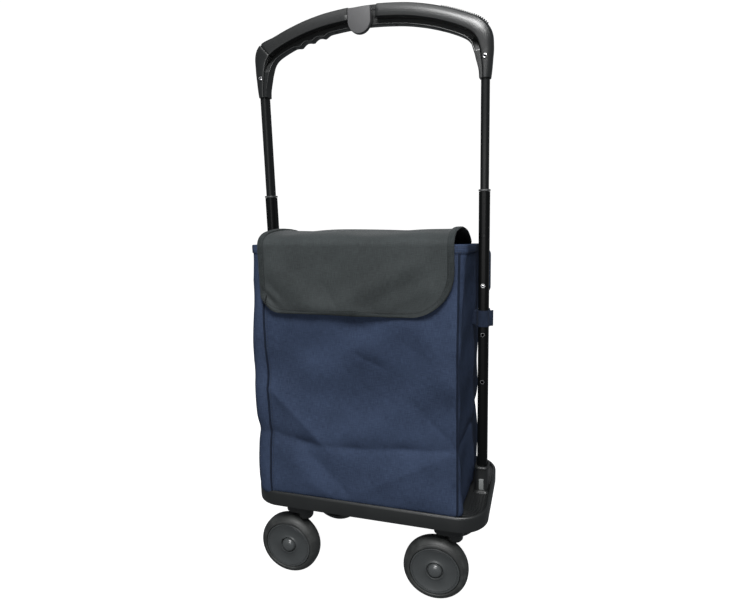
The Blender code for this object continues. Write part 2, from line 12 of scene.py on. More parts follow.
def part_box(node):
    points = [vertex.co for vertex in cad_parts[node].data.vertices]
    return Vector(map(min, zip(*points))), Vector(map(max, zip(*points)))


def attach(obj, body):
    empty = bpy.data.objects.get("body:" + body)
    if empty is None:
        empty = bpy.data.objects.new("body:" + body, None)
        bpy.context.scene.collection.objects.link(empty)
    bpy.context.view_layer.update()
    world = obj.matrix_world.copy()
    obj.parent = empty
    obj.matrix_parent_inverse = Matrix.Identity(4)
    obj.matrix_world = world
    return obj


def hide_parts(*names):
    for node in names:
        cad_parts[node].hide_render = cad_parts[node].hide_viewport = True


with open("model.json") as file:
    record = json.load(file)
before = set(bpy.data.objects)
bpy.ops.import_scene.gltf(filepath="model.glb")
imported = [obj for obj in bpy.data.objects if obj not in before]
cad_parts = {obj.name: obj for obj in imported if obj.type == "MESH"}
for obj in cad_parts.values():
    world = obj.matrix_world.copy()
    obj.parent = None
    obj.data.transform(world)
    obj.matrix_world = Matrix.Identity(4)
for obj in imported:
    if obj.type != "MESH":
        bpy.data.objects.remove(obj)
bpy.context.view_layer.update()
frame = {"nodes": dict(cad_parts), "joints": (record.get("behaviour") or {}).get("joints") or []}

bl_info = {
    "name": "Shopping Trolley",
    "version": (1, 0, 0),
    "blender": (4, 5, 0),
    "location": "View3D > Sidebar > Trolley",
    "description": "Builds a shopping trolley with a fabric bag, piece by piece",
    "category": "Add Mesh",
}

SIDES = (("left", -1), ("right", 1))
CASTERS = ("front_right", "front_left", "rear_right", "rear_left")
_boxes = {}


def box(node):
    """Low and high corner of a frame node, read once."""
    if node not in _boxes:
        _boxes[node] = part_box(node)
    return _boxes[node]


def centre_of(node):
    """Centre of a frame node's box."""
    return [(a + b) / 2 for a, b in zip(*box(node))]


def half_of(node):
    """Half sizes of a frame node's box."""
    return [(b - a) / 2 for a, b in zip(*box(node))]


def joint_of(name):
    """A joint of the frame."""
    return next(j for j in frame["joints"] if j["name"] == name)


def refinish(node, kind):
    """Gives a frame node that shows as it is one of this script's finishes."""
    for slot in frame["nodes"][node].material_slots:
        slot.material = finish(kind)


# ---------------------------------------------------------------- user settings


def length_setting(label, text, default, low, high):
    """A length with its limits, in metres."""
    return bpy.props.FloatProperty(name=label, description=text, default=default, min=low, max=high,
                                   unit="LENGTH")


def colour_setting(label, text, default):
    """A linear colour."""
    return bpy.props.FloatVectorProperty(name=label, description=text, default=default, subtype="COLOR",
                                         size=3, min=0, max=1)


class TrolleySizes(bpy.types.PropertyGroup):
    """Sizes that can be changed without touching the frame."""

    stitch_length: length_setting("Stitch length", "Length of one stitch in the seams", 0.0032, 0.001,
                                  0.008)
    stitch_gap: length_setting("Stitch pitch", "Distance from one stitch to the next", 0.0046, 0.002, 0.012)
    binding_width: length_setting("Binding width", "Width of the tape round the flap", 0.0085, 0.004, 0.02)
    cloth_thickness: length_setting("Cloth thickness", "Thickness of the bag's cloth", 0.0011, 0.0005,
                                    0.003)
    sag: bpy.props.FloatProperty(name="Sag", description="How far the bag's walls give way", default=1.0,
                                 min=0.0, max=2.0)


class TrolleyColours(bpy.types.PropertyGroup):
    """Colours of the finishes."""

    bag: colour_setting("Bag", "Woven cloth of the bag", (0.0325, 0.0460, 0.0820))
    flap: colour_setting("Flap", "Woven cloth of the flap", (0.036, 0.0415, 0.0425))
    plastic: colour_setting("Plastic", "Moulded parts", (0.0085, 0.0092, 0.0094))
    tab: colour_setting("Release tab", "Grey tab in the handle", (0.064, 0.064, 0.066))
    tube: colour_setting("Uprights", "Coated tubes", (0.0028, 0.0031, 0.0032))


def sizes():
    return bpy.context.scene.trolley_sizes


def colours():
    return bpy.context.scene.trolley_colours


# ---------------------------------------------------------------- finishes


class Finish:
    """A node material under construction: short calls that add and join nodes."""

    def __init__(self, name):
        self.mat = bpy.data.materials.new(name)
        self.mat.use_nodes = True
        self.tree = self.mat.node_tree
        self.shader = self.tree.nodes["Principled BSDF"]

    def node(self, kind, inputs=None, **settings):
        made = self.tree.nodes.new("ShaderNode" + kind)
        for key, value in settings.items():
            setattr(made, key, value)
        for key, value in (inputs or {}).items():
            self.feed(made.inputs[key], value)
        return made

    def feed(self, socket, value):
        if isinstance(value, bpy.types.NodeSocket):
            self.tree.links.new(value, socket)
        elif isinstance(value, bpy.types.Node):
            self.tree.links.new(value.outputs[0], socket)
        elif isinstance(value, (tuple, list)) and len(value) == 3 and socket.type == "RGBA":
            socket.default_value = (*value, 1)
        else:
            socket.default_value = value

    def set(self, **values):
        for key, value in values.items():
            self.feed(self.shader.inputs[key.replace("_", " ")], value)

    def place(self, scale=(1, 1, 1), uv=False, turn=0.0):
        source = self.node("TexCoord").outputs["UV" if uv else "Object"]
        return self.node("Mapping", {"Vector": source, "Scale": scale, "Rotation": (0, 0, turn)})

    def noise(self, scale, detail=2.0, where=None, rough=0.5):
        return self.node("TexNoise", {"Vector": where or self.place(), "Scale": scale, "Detail": detail,
                                      "Roughness": rough})

    def sum(self, a, b, op="ADD", clamp=False):
        made = self.node("Math", operation=op, use_clamp=clamp)
        self.feed(made.inputs[0], a)
        self.feed(made.inputs[1], b)
        return made

    def span(self, value, low, high, to_low, to_high):
        return self.node("MapRange", {"Value": value, "From Min": low, "From Max": high, "To Min": to_low,
                                      "To Max": to_high})

    def tint(self, colour, factor, low=0.8, high=1.2):
        """The colour, made darker or lighter by a factor of 0 to 1."""
        dark = tuple(min(1, c * low) for c in colour)
        light = tuple(min(1, c * high) for c in colour)
        made = self.node("Mix", data_type="RGBA")
        self.feed(made.inputs[0], factor)
        self.feed(made.inputs[6], dark)
        self.feed(made.inputs[7], light)
        return made.outputs[2]

    def bump(self, height, distance, strength=1.0, below=None):
        made = self.node("Bump", {"Height": height, "Distance": distance, "Strength": strength})
        if below is not None:
            self.feed(made.inputs["Normal"], below)
        return made


def moulded_plastic(name, colour, roughness=0.42, grain=1500, depth=0.00005, spread=0.10, shine=0.5):
    """Spark-eroded moulding: fine even grain, faint flow marks, slightly varied gloss."""
    f = Finish(name)
    grain_node = f.noise(grain, 3.0, rough=0.6)
    flow = f.noise(9, 3.0)
    dust = f.span(f.noise(45, 5.0), 0.35, 0.75, 0, 1)
    f.set(Base_Color=f.tint(colour, f.sum(f.sum(flow, 0.6, "MULTIPLY"), f.sum(dust, 0.4, "MULTIPLY")),
                            0.85, 1.2))
    f.set(Roughness=f.span(f.sum(flow, grain_node), 0.7, 1.3, roughness - spread / 2,
                           roughness + spread / 2))
    f.set(Specular_IOR_Level=shine, Normal=f.bump(grain_node, depth, 0.9))
    return f.mat


def coated_tube(name, colour, shine):
    """Powder coat: faint orange peel and a satin shine."""
    f = Finish(name)
    peel = f.noise(420, 2.0)
    scuff = f.noise(60, 4.0, f.place((1, 1, 0.05)))
    f.set(Base_Color=f.tint(colour, scuff, 0.8, 1.3), Roughness=f.span(scuff, 0.3, 0.7, 0.30, 0.42))
    f.set(Normal=f.bump(peel, 0.00012, 0.6), Specular_IOR_Level=shine)
    return f.mat


def bright_steel(name, roughness=0.25):
    """Turned stainless steel with fine tool marks."""
    f = Finish(name)
    marks = f.noise(700, 3.0, f.place((1, 1, 6)))
    f.set(Base_Color=f.tint((0.60, 0.60, 0.61), marks, 0.85, 1.1), Metallic=1.0)
    f.set(Roughness=f.span(marks, 0.3, 0.7, roughness - 0.06, roughness + 0.1),
          Normal=f.bump(marks, 0.00003, 0.5))
    return f.mat


def tyre_rubber(name, colour=(0.026, 0.0275, 0.027)):
    """Dull rubber with a fine tooth and a little floor dust worked into it."""
    f = Finish(name)
    tooth = f.noise(2200, 2.0)
    dust = f.span(f.noise(70, 6.0), 0.45, 0.75, 0, 1)
    f.set(Base_Color=f.tint(colour, dust, 0.9, 1.7), Roughness=f.span(dust, 0, 1, 0.50, 0.68))
    f.set(Normal=f.bump(tooth, 0.00008, 0.8), Specular_IOR_Level=0.45)
    return f.mat


def woven_cloth(name, colour, pitch=0.00115, roughness=0.74, sheen=0.0, shade=0.52, shine=0.05):
    """Plain weave on the cloth's own metres: warp and weft threads, uneven yarn and soft wear."""
    f = Finish(name)

    def weave(direction):
        return f.node("TexWave", {"Vector": f.place(uv=True), "Scale": 1 / (pitch * 6.2832) * 2.0,
                                  "Distortion": 0.6, "Detail": 1.0, "Detail Scale": 2.0},
                      bands_direction=direction)

    across, along = weave("X"), weave("Y")
    threads = f.sum(across.outputs["Fac"], along.outputs["Fac"], "MULTIPLY")
    yarn_a = f.noise(90, 3.0, f.place((1, 14, 1), uv=True), rough=0.6)
    yarn_b = f.noise(90, 3.0, f.place((14, 1, 1), uv=True), rough=0.6)
    yarn = f.sum(f.sum(yarn_a, yarn_b), 0.5, "MULTIPLY")
    soft = f.noise(14, 4.0, f.place(uv=True))
    mix = f.sum(f.sum(f.sum(threads, 0.35, "MULTIPLY"), f.span(yarn, 0.38, 0.62, 0.0, 0.40)),
                f.span(soft, 0.3, 0.7, 0.0, 0.25), "ADD", True)
    f.set(Base_Color=f.tint(colour, mix, 1 - shade, 1 + shade * 1.2),
          Roughness=f.span(yarn, 0.4, 0.6, roughness - 0.08, roughness + 0.08))
    f.set(Sheen_Weight=sheen, Sheen_Roughness=0.45, Specular_IOR_Level=shine)
    lower = f.bump(soft, 0.0006, 0.6)
    f.set(Normal=f.bump(f.sum(threads, yarn, "ADD"), 0.00022, 0.75, lower))
    return f.mat


def thread(name, colour):
    """Twisted sewing thread."""
    f = Finish(name)
    twist = f.node("TexWave", {"Vector": f.place((1, 1, 1), turn=0.6), "Scale": 900.0, "Distortion": 1.0})
    f.set(Base_Color=f.tint(colour, twist.outputs["Fac"], 0.7, 1.2), Roughness=0.6,
          Normal=f.bump(twist.outputs["Fac"], 0.0001, 0.5))
    return f.mat


_finishes = {}


def finish(kind):
    """Each finish is made once and shared by the pieces that have it."""
    if kind in _finishes:
        return _finishes[kind]
    c = colours()

    def part(source, share):
        """A colour of the panel, darker or lighter."""
        return tuple(x * share for x in source)

    makers = {
        "base": lambda: moulded_plastic("base_plastic", part(c.plastic, 1.5), 0.40, 1400),
        "fork": lambda: moulded_plastic("fork_plastic", part(c.plastic, 0.9), 0.38, 1400),
        "handle": lambda: moulded_plastic("handle_plastic", part(c.plastic, 1.15), 0.36, 1700, 0.00004,
                                          shine=0.6),
        "grip": lambda: moulded_plastic("grip_plastic", part(c.plastic, 1.0), 0.44, 1700),
        "hub": lambda: moulded_plastic("hub_plastic", part(c.plastic, 5.4), 0.33, 1500, 0.00003),
        "cap": lambda: moulded_plastic("cap_plastic", part(c.plastic, 6.5), 0.27, 1200, 0.00001, 0.05,
                                       0.95),
        "tab": lambda: moulded_plastic("tab_plastic", part(c.tab, 1.0), 0.60, 1900, 0.00004),
        "latch": lambda: moulded_plastic("latch_plastic", (0.17, 0.18, 0.178), 0.5, 1800, 0.00004),
        "bush": lambda: moulded_plastic("bush_plastic", (0.035, 0.037, 0.038), 0.45, 1800, 0.00003),
        "dark": lambda: moulded_plastic("dark_plastic", (0.004, 0.0042, 0.0045), 0.6, 1500),
        "board": lambda: moulded_plastic("board_plastic", (0.02, 0.02, 0.02), 0.7, 900, 0.0001),
        "tube": lambda: coated_tube("tube_coat", part(c.tube, 1.0), 0.12),
        "tube_inner": lambda: coated_tube("inner_tube_coat", part(c.tube, 2.2), 0.2),
        "steel": lambda: bright_steel("screw_steel"),
        "tyre": lambda: tyre_rubber("tyre_rubber"),
        "bag": lambda: woven_cloth("bag_cloth", part(c.bag, 1.0)),
        "strap": lambda: woven_cloth("strap_cloth", part(c.bag, 0.5), 0.0014, 0.8, 0.04),
        # Seam tape: the bag cloth at about a third of its brightness, painted shade of the groove along each corner
        # seam.
        "seam": lambda: woven_cloth("seam_tape_painted_shade", part(c.bag, 0.35), 0.0012, 0.8, 0.02),
        "flap": lambda: woven_cloth("flap_cloth", part(c.flap, 1.0), 0.0010, 0.68, 0.06, shine=0.15),
        "binding": lambda: woven_cloth("binding_tape", part(c.flap, 0.8), 0.0008, 0.7, 0.06),
        "bag_thread": lambda: thread("bag_thread", (0.010, 0.015, 0.028)),
        "flap_thread": lambda: thread("flap_thread", (0.008, 0.009, 0.0095)),
    }
    _finishes[kind] = makers[kind]()
    return _finishes[kind]


# ---------------------------------------------------------------- mesh building


def piece(name, verts, faces, kind, sharp=38, uvs=None, fix=True, body=None, stands_for=(), slot=None):
    """A named mesh with its finish, its normals outward and its edges sharp over an angle."""
    mesh = bpy.data.meshes.new(name)
    mesh.from_pydata([tuple(float(c) for c in v) for v in verts], [], [tuple(f) for f in faces])
    if uvs is not None:
        layer = mesh.uv_layers.new(name="cloth")
        layer.data.foreach_set("uv", np.asarray(uvs, float).ravel())
    if fix:
        shape = bmesh.new()
        shape.from_mesh(mesh)
        bmesh.ops.recalc_face_normals(shape, faces=shape.faces[:])
        shape.to_mesh(mesh)
        shape.free()
    mesh.materials.append(finish(kind))
    obj = bpy.data.objects.new(name, mesh)
    bpy.context.scene.collection.objects.link(obj)
    shade(obj, sharp)
    return settle(obj, body, stands_for, slot)


def settle(obj, body=None, stands_for=(), slot=None):
    """Ties a finished piece to its body, the frame nodes it stands for and the record's slot."""
    if body:
        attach(obj, body)
    if stands_for:
        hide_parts(*([stands_for] if isinstance(stands_for, str) else stands_for))
    return obj


def shade(obj, sharp=38):
    mesh = obj.data
    mesh.polygons.foreach_set("use_smooth", [True] * len(mesh.polygons))
    mesh.set_sharp_from_angle(angle=math.radians(sharp))
    mesh.update()


def skin(rings, closed=True, caps=True, loop=False, metres=None):
    """Points, faces and, if asked, cloth metres of a run of equal rings."""
    count = len(rings[0])
    verts = [p for ring in rings for p in ring]
    faces, uvs = [], []
    rows = len(rings) if loop else len(rings) - 1
    for i in range(rows):
        a, b = i * count, (i + 1) % len(rings) * count
        for j in range(count if closed else count - 1):
            k = (j + 1) % count
            faces.append((a + j, a + k, b + k, b + j))
            if metres is not None:
                u, v = metres
                uvs += [(u[j], v[i]), (u[j + 1], v[i]), (u[j + 1], v[i + 1]), (u[j], v[i + 1])]
    if caps and not loop:
        for base in (0, len(verts) - count):
            faces.append(tuple(range(base, base + count)))
            if metres is not None:
                uvs += [(verts[base + j][0], verts[base + j][1]) for j in range(count)]
    return (verts, faces) if metres is None else (verts, faces, uvs)


def rounded_outline(hx, hy, radius, steps=12, sides=1):
    """Rounded rectangle, counter-clockwise, with its straight sides cut into the given number of parts."""
    points = []
    corners = ((1, 1, 0), (-1, 1, 90), (-1, -1, 180), (1, -1, 270))

    def at(corner, turned_by=0.0):
        sx, sy, start = corner
        angle = math.radians(start + turned_by)
        return sx * (hx - radius) + radius * math.cos(angle), sy * (hy - radius) + radius * math.sin(angle)

    for k, corner in enumerate(corners):
        points += [at(corner, 90 * i / steps) for i in range(steps + 1)]
        parts = sides if isinstance(sides, int) else sides[k]
        a, b = np.array(points[-1]), np.array(at(corners[(k + 1) % 4]))
        points += [tuple(a + (b - a) * t / parts) for t in range(1, parts)]
    return points


def fillet(points, radii, steps=3):
    """Rounds the corners of a closed outline."""
    out = []
    count = len(points)
    for i, point in enumerate(points):
        radius = radii[i] if isinstance(radii, (list, tuple)) else radii
        p, a, b = np.array(point), np.array(points[i - 1]), np.array(points[(i + 1) % count])
        la, lb = np.linalg.norm(a - p), np.linalg.norm(b - p)
        start = p + (a - p) * min(0.46, radius / max(la, 1e-9))
        end = p + (b - p) * min(0.46, radius / max(lb, 1e-9))
        for t in np.linspace(0, 1, steps + 1):
            out.append(tuple((1 - t) ** 2 * start + 2 * t * (1 - t) * p + t * t * end))
    return out


def spline(points, steps=8, closed=False):
    """Smooth line through control rows."""
    points = np.array(points, float)
    count = len(points)
    out = []
    last = count if closed else count - 1
    for i in range(last):
        b, c = points[i], points[(i + 1) % count]
        a = points[i - 1] if i or closed else 2 * b - c
        d = points[(i + 2) % count] if i + 2 < count or closed else 2 * c - b
        for t in np.arange(steps) / steps:
            square, cube = 2 * a - 5 * b + 4 * c - d, 3 * b - a - 3 * c + d
            out.append(0.5 * (2 * b + (c - a) * t + square * t * t + cube * t ** 3))
    if not closed:
        out.append(points[-1])
    return np.array(out)


def turned(name, profile, kind, matrix=None, count=96, closed=False, sharp=30, **tie):
    """Solid of revolution about Z from (radius, height) points, open ends on the axis, then moved by the matrix."""
    verts, faces, index = [], [], []
    for r, z in profile:
        index.append((len(verts), r < 1e-7))
        if r < 1e-7:
            verts.append((0, 0, z))
        else:
            verts += [(r * math.cos(2 * math.pi * j / count), r * math.sin(2 * math.pi * j / count),
                       z) for j in range(count)]
    pairs = list(zip(index[:-1], index[1:])) + ([(index[-1], index[0])] if closed else [])
    for (a, pa), (b, pb) in pairs:
        if pa and pb:
            continue
        for j in range(count):
            k = (j + 1) % count
            faces.append(([a] if pa else [a + j, a + k]) + ([b] if pb else [b + k, b + j]))
    if matrix is not None:
        verts = [matrix @ Vector(v) for v in verts]
    return piece(name, verts, faces, kind, sharp, **tie)


def carve(obj, cutters, operation="DIFFERENCE"):
    """Cuts shapes out of a piece, or joins them to it, and drops them."""
    for cutter in cutters:
        step = obj.modifiers.new("carve", "BOOLEAN")
        step.operation = operation
        step.solver = "EXACT"
        step.object = cutter
        bake(obj)
        bpy.data.objects.remove(cutter)
    return obj


def bake(obj):
    """Turns what the modifiers make into the object's own mesh."""
    graph = bpy.context.evaluated_depsgraph_get()
    mesh = bpy.data.meshes.new_from_object(obj.evaluated_get(graph))
    obj.modifiers.clear()
    obj.data = mesh
    return obj


def round_edges(obj, width, segments=3, angle=32, sharp=38):
    step = obj.modifiers.new("round", "BEVEL")
    step.width = width
    step.segments = segments
    step.limit_method = "ANGLE"
    step.angle_limit = math.radians(angle)
    step.miter_outer = "MITER_ARC"
    bake(obj)
    shade(obj, sharp)
    return obj


def bar(start, end, radius, count=24, kind="dark"):
    """Plain round bar between two points, for cutting."""
    start, end = Vector(start), Vector(end)
    turn = (end - start).to_track_quat("Z", "Y").to_matrix().to_4x4()
    matrix = Matrix.Translation(start) @ turn
    return turned("bar", [(0, 0), (radius, 0), (radius, (end - start).length), (0, (end - start).length)],
                  kind, matrix, count)


def slab(x0, x1, y0, y1, z0, z1, kind="dark"):
    rings = [[(x0, y0, z), (x1, y0, z), (x1, y1, z), (x0, y1, z)] for z in (z0, z1)]
    return piece("slab", *skin(rings), kind)


def solid_outline(name, outline, z0, z1, kind, edge=0.0, matrix=None, sharp=38, **tie):
    """Prism on a flat outline with rounded edges."""
    rings = [[(x, y, z) for x, y in outline] for z in (z0, z1)]
    verts, faces = skin(rings)
    if matrix is not None:
        verts = [matrix @ Vector(v) for v in verts]
    obj = piece(name, verts, faces, kind, sharp)
    if edge:
        round_edges(obj, edge, 3, 32, sharp)
    return settle(obj, **tie)


# ---------------------------------------------------------------- rows made with geometry nodes


def row_tree():
    """Small rounded bars laid end to end along a line, such as stitches or ribs."""
    if "row_of_bars" in bpy.data.node_groups:
        return bpy.data.node_groups["row_of_bars"]
    tree = bpy.data.node_groups.new("row_of_bars", "GeometryNodeTree")
    wanted = (("Line", "Geometry", None), ("Pitch", "Float", 0.005), ("Length", "Float", 0.003),
              ("Width", "Float", 0.0008), ("Height", "Float", 0.0008), ("Unevenness", "Float", 0.06),
              ("Seed", "Int", 4), ("Finish", "Material", None))
    for name, kind, default in wanted:
        socket = tree.interface.new_socket(name, in_out="INPUT", socket_type="NodeSocket" + kind)
        if default is not None:
            socket.default_value = default
    tree.interface.new_socket("Geometry", in_out="OUTPUT", socket_type="NodeSocketGeometry")

    def add(kind, inputs, **settings):
        """A node with its options set and its inputs joined to another node's output or set to a value."""
        made = tree.nodes.new(kind)
        for key, value in settings.items():
            setattr(made, key, value)
        for key, value in inputs.items():
            if isinstance(value, bpy.types.NodeSocket):
                tree.links.new(value, made.inputs[key])
            else:
                made.inputs[key].default_value = value
        return made

    given = tree.nodes.new("NodeGroupInput").outputs
    curve = add("GeometryNodeMeshToCurve", {"Mesh": given["Line"]})
    even = add("GeometryNodeResampleCurve", {"Curve": curve.outputs[0], "Length": given["Pitch"]},
               mode="LENGTH")
    tangent = add("GeometryNodeInputTangent", {})
    keep = tree.nodes.new("GeometryNodeCaptureAttribute")
    keep.capture_items.new("VECTOR", "Along")
    tree.links.new(even.outputs[0], keep.inputs["Geometry"])
    tree.links.new(tangent.outputs[0], keep.inputs[1])
    up = add("GeometryNodeInputNamedAttribute", {"Name": "up"}, data_type="FLOAT_VECTOR")
    points = add("GeometryNodeCurveToPoints", {"Curve": keep.outputs["Geometry"]}, mode="EVALUATED")
    turn = add("FunctionNodeAxesToRotation", {"Primary Axis": keep.outputs["Along"],
                                              "Secondary Axis": up.outputs["Attribute"]},
               primary_axis="X", secondary_axis="Z")
    chance = add("FunctionNodeRandomValue", {0: (-1, -1, -1), 1: (1, 1, 1), "Seed": given["Seed"]},
                 data_type="FLOAT_VECTOR")
    spread = add("ShaderNodeVectorMath", {0: chance.outputs[0], "Scale": given["Unevenness"]},
                 operation="SCALE")
    share = add("ShaderNodeVectorMath", {0: spread.outputs[0], 1: (1, 1, 1)}, operation="ADD")
    size = add("ShaderNodeCombineXYZ", {0: given["Length"], 1: given["Width"], 2: given["Height"]})
    scale = add("ShaderNodeVectorMath", {0: size.outputs[0], 1: share.outputs[0]}, operation="MULTIPLY")
    ball = add("GeometryNodeMeshUVSphere", {"Segments": 8, "Rings": 5, "Radius": 0.5})
    lay = add("GeometryNodeInstanceOnPoints", {"Points": points.outputs["Points"],
                                               "Instance": ball.outputs["Mesh"],
                                               "Rotation": turn.outputs[0], "Scale": scale.outputs[0]})
    real = add("GeometryNodeRealizeInstances", {0: lay.outputs[0]})
    smooth = add("GeometryNodeSetShadeSmooth", {0: real.outputs[0]})
    coat = add("GeometryNodeSetMaterial", {"Geometry": smooth.outputs[0], "Material": given["Finish"]})
    add("NodeGroupOutput", {0: coat.outputs[0]})
    return tree


def run_tree(obj, tree, values):
    """Runs a tree on an object, inputs given by name, and keeps the plain mesh it makes."""
    step = obj.modifiers.new("nodes", "NODES")
    step.node_group = tree
    for item in tree.interface.items_tree:
        if item.item_type == "SOCKET" and item.in_out == "INPUT" and item.name in values:
            step[item.identifier] = values[item.name]
    bake(obj)
    return obj


def stitch_row(name, lines, kind, body, pitch=None, length=None, width=0.0007, height=0.0005, seed=4,
               slot=None):
    """Stitches along lines of (point, surface normal), as one mesh."""
    verts, edges, ups = [], [], []
    for line in lines:
        for i, (point, normal) in enumerate(line):
            if i:
                edges.append((len(verts) - 1, len(verts)))
            verts.append(tuple(point))
            ups.append(tuple(normal))
    mesh = bpy.data.meshes.new(name)
    mesh.from_pydata(verts, edges, [])
    up = mesh.attributes.new("up", "FLOAT_VECTOR", "POINT")
    up.data.foreach_set("vector", np.asarray(ups, np.float32).ravel())
    obj = bpy.data.objects.new(name, mesh)
    bpy.context.scene.collection.objects.link(obj)
    values = {"Pitch": pitch or sizes().stitch_gap, "Length": length or sizes().stitch_length,
              "Width": width, "Height": height, "Seed": seed, "Finish": finish(kind)}
    run_tree(obj, row_tree(), values)
    return settle(obj, body, (), slot)


# ---------------------------------------------------------------- tray base


def base_sizes():
    low, high = box("base_tray")
    return high[0], high[1], low[2], high[2]


TRAY_CORNER, DECK, DECK_DROP, DECK_EDGE = 0.044, 0.003, 0.006, 0.040
RIB_COUNT, RIB_PITCH, RIB_RISE = 6, 0.0042, 0.0009
WEB_COUNT, WEB_HALF = 8, 0.0008


def tray_rings(levels):
    """Outlines of the tray from (inset, height) pairs."""
    hx, hy, _, _ = base_sizes()
    return [[(x, y, z) for x, y in rounded_outline(hx - inset, hy - inset,
                                                   max(TRAY_CORNER - inset, 0.006), 14)]
            for inset, z in levels]


def build_base():
    """Tray: rounded rim, ribbed floor, hollow underside with bosses."""
    _, _, z0, z1 = base_sizes()
    floor = z1 - DECK_DROP
    ceiling = floor - DECK
    profile = [(0.0010, z0), (0.0002, z0 + 0.0008), (0, z0 + 0.0022), (0, z1 - 0.0035),
               (0.0004, z1 - 0.0016), (0.0014, z1 - 0.0004),
               (0.0026, z1), (0.0036, z1 - 0.0004), (0.0042, z1 - 0.0014), (0.0045, z1 - 0.0030),
               (0.0047, floor + 0.0008),
               (0.0056, floor)]
    for k in range(RIB_COUNT):
        foot = 0.0068 + k * RIB_PITCH
        profile += [(foot, floor), (foot + 0.0005, floor + RIB_RISE), (foot + 0.0013, floor + RIB_RISE),
                    (foot + 0.0018, floor)]
    profile += [(DECK_EDGE, floor)]
    under = [(DECK_EDGE, ceiling), (0.0060, ceiling), (0.0048, ceiling - 0.0008), (0.0040, z0 + 0.0006),
             (0.0034, z0)]
    outside, inside = tray_rings(profile), tray_rings(under)
    verts, faces = skin(outside, caps=False)
    shift, size = len(verts), len(outside[0])
    inner, inner_faces = skin(inside, caps=False)
    faces.append(tuple(range(shift - size, shift)))
    faces += [tuple(i + shift for i in f) for f in inner_faces]
    faces.append(tuple(range(shift, shift + size)))
    last = shift + len(inner) - size
    faces += [(j, (j + 1) % size, last + (j + 1) % size, last + j) for j in range(size)]
    piece("tray", verts + inner, faces, "base", 40, body="base", stands_for="base_tray",
          slot="base_plastic")
    for name in CASTERS:
        x, y, _ = centre_of(name + "_kingpin")
        boss = [(0.0046, z0 + 0.0004), (0.0110, z0 + 0.0004), (0.0122, z0 + 0.0012), (0.0125, z0 + 0.003),
                (0.0132, ceiling + 0.0004)]
        turned("boss_" + name, boss, "base", Matrix.Translation((x, y, 0)), 48, body="base",
               slot="base_plastic")
        for k in range(WEB_COUNT):
            web = slab(0.0120, 0.0185, -WEB_HALF, WEB_HALF, z0 + 0.004, ceiling + 0.0004, "base")
            turn = Matrix.Rotation(k * 2 * math.pi / WEB_COUNT + 0.39, 4, "Z")
            web.data.transform(Matrix.Translation((x, y, 0)) @ turn)
            web.name = "web_%s_%d" % (name, k)
            settle(web, "base", (), "base_plastic")


OUTER_WALL, INNER_WALL = 0.0015, 0.0012


def facing_front(x, y, z):
    """Matrix that turns a profile's axis toward the front, at a point."""
    return Matrix.Translation((x, y, z)) @ Matrix.Rotation(math.pi / 2, 4, "X")


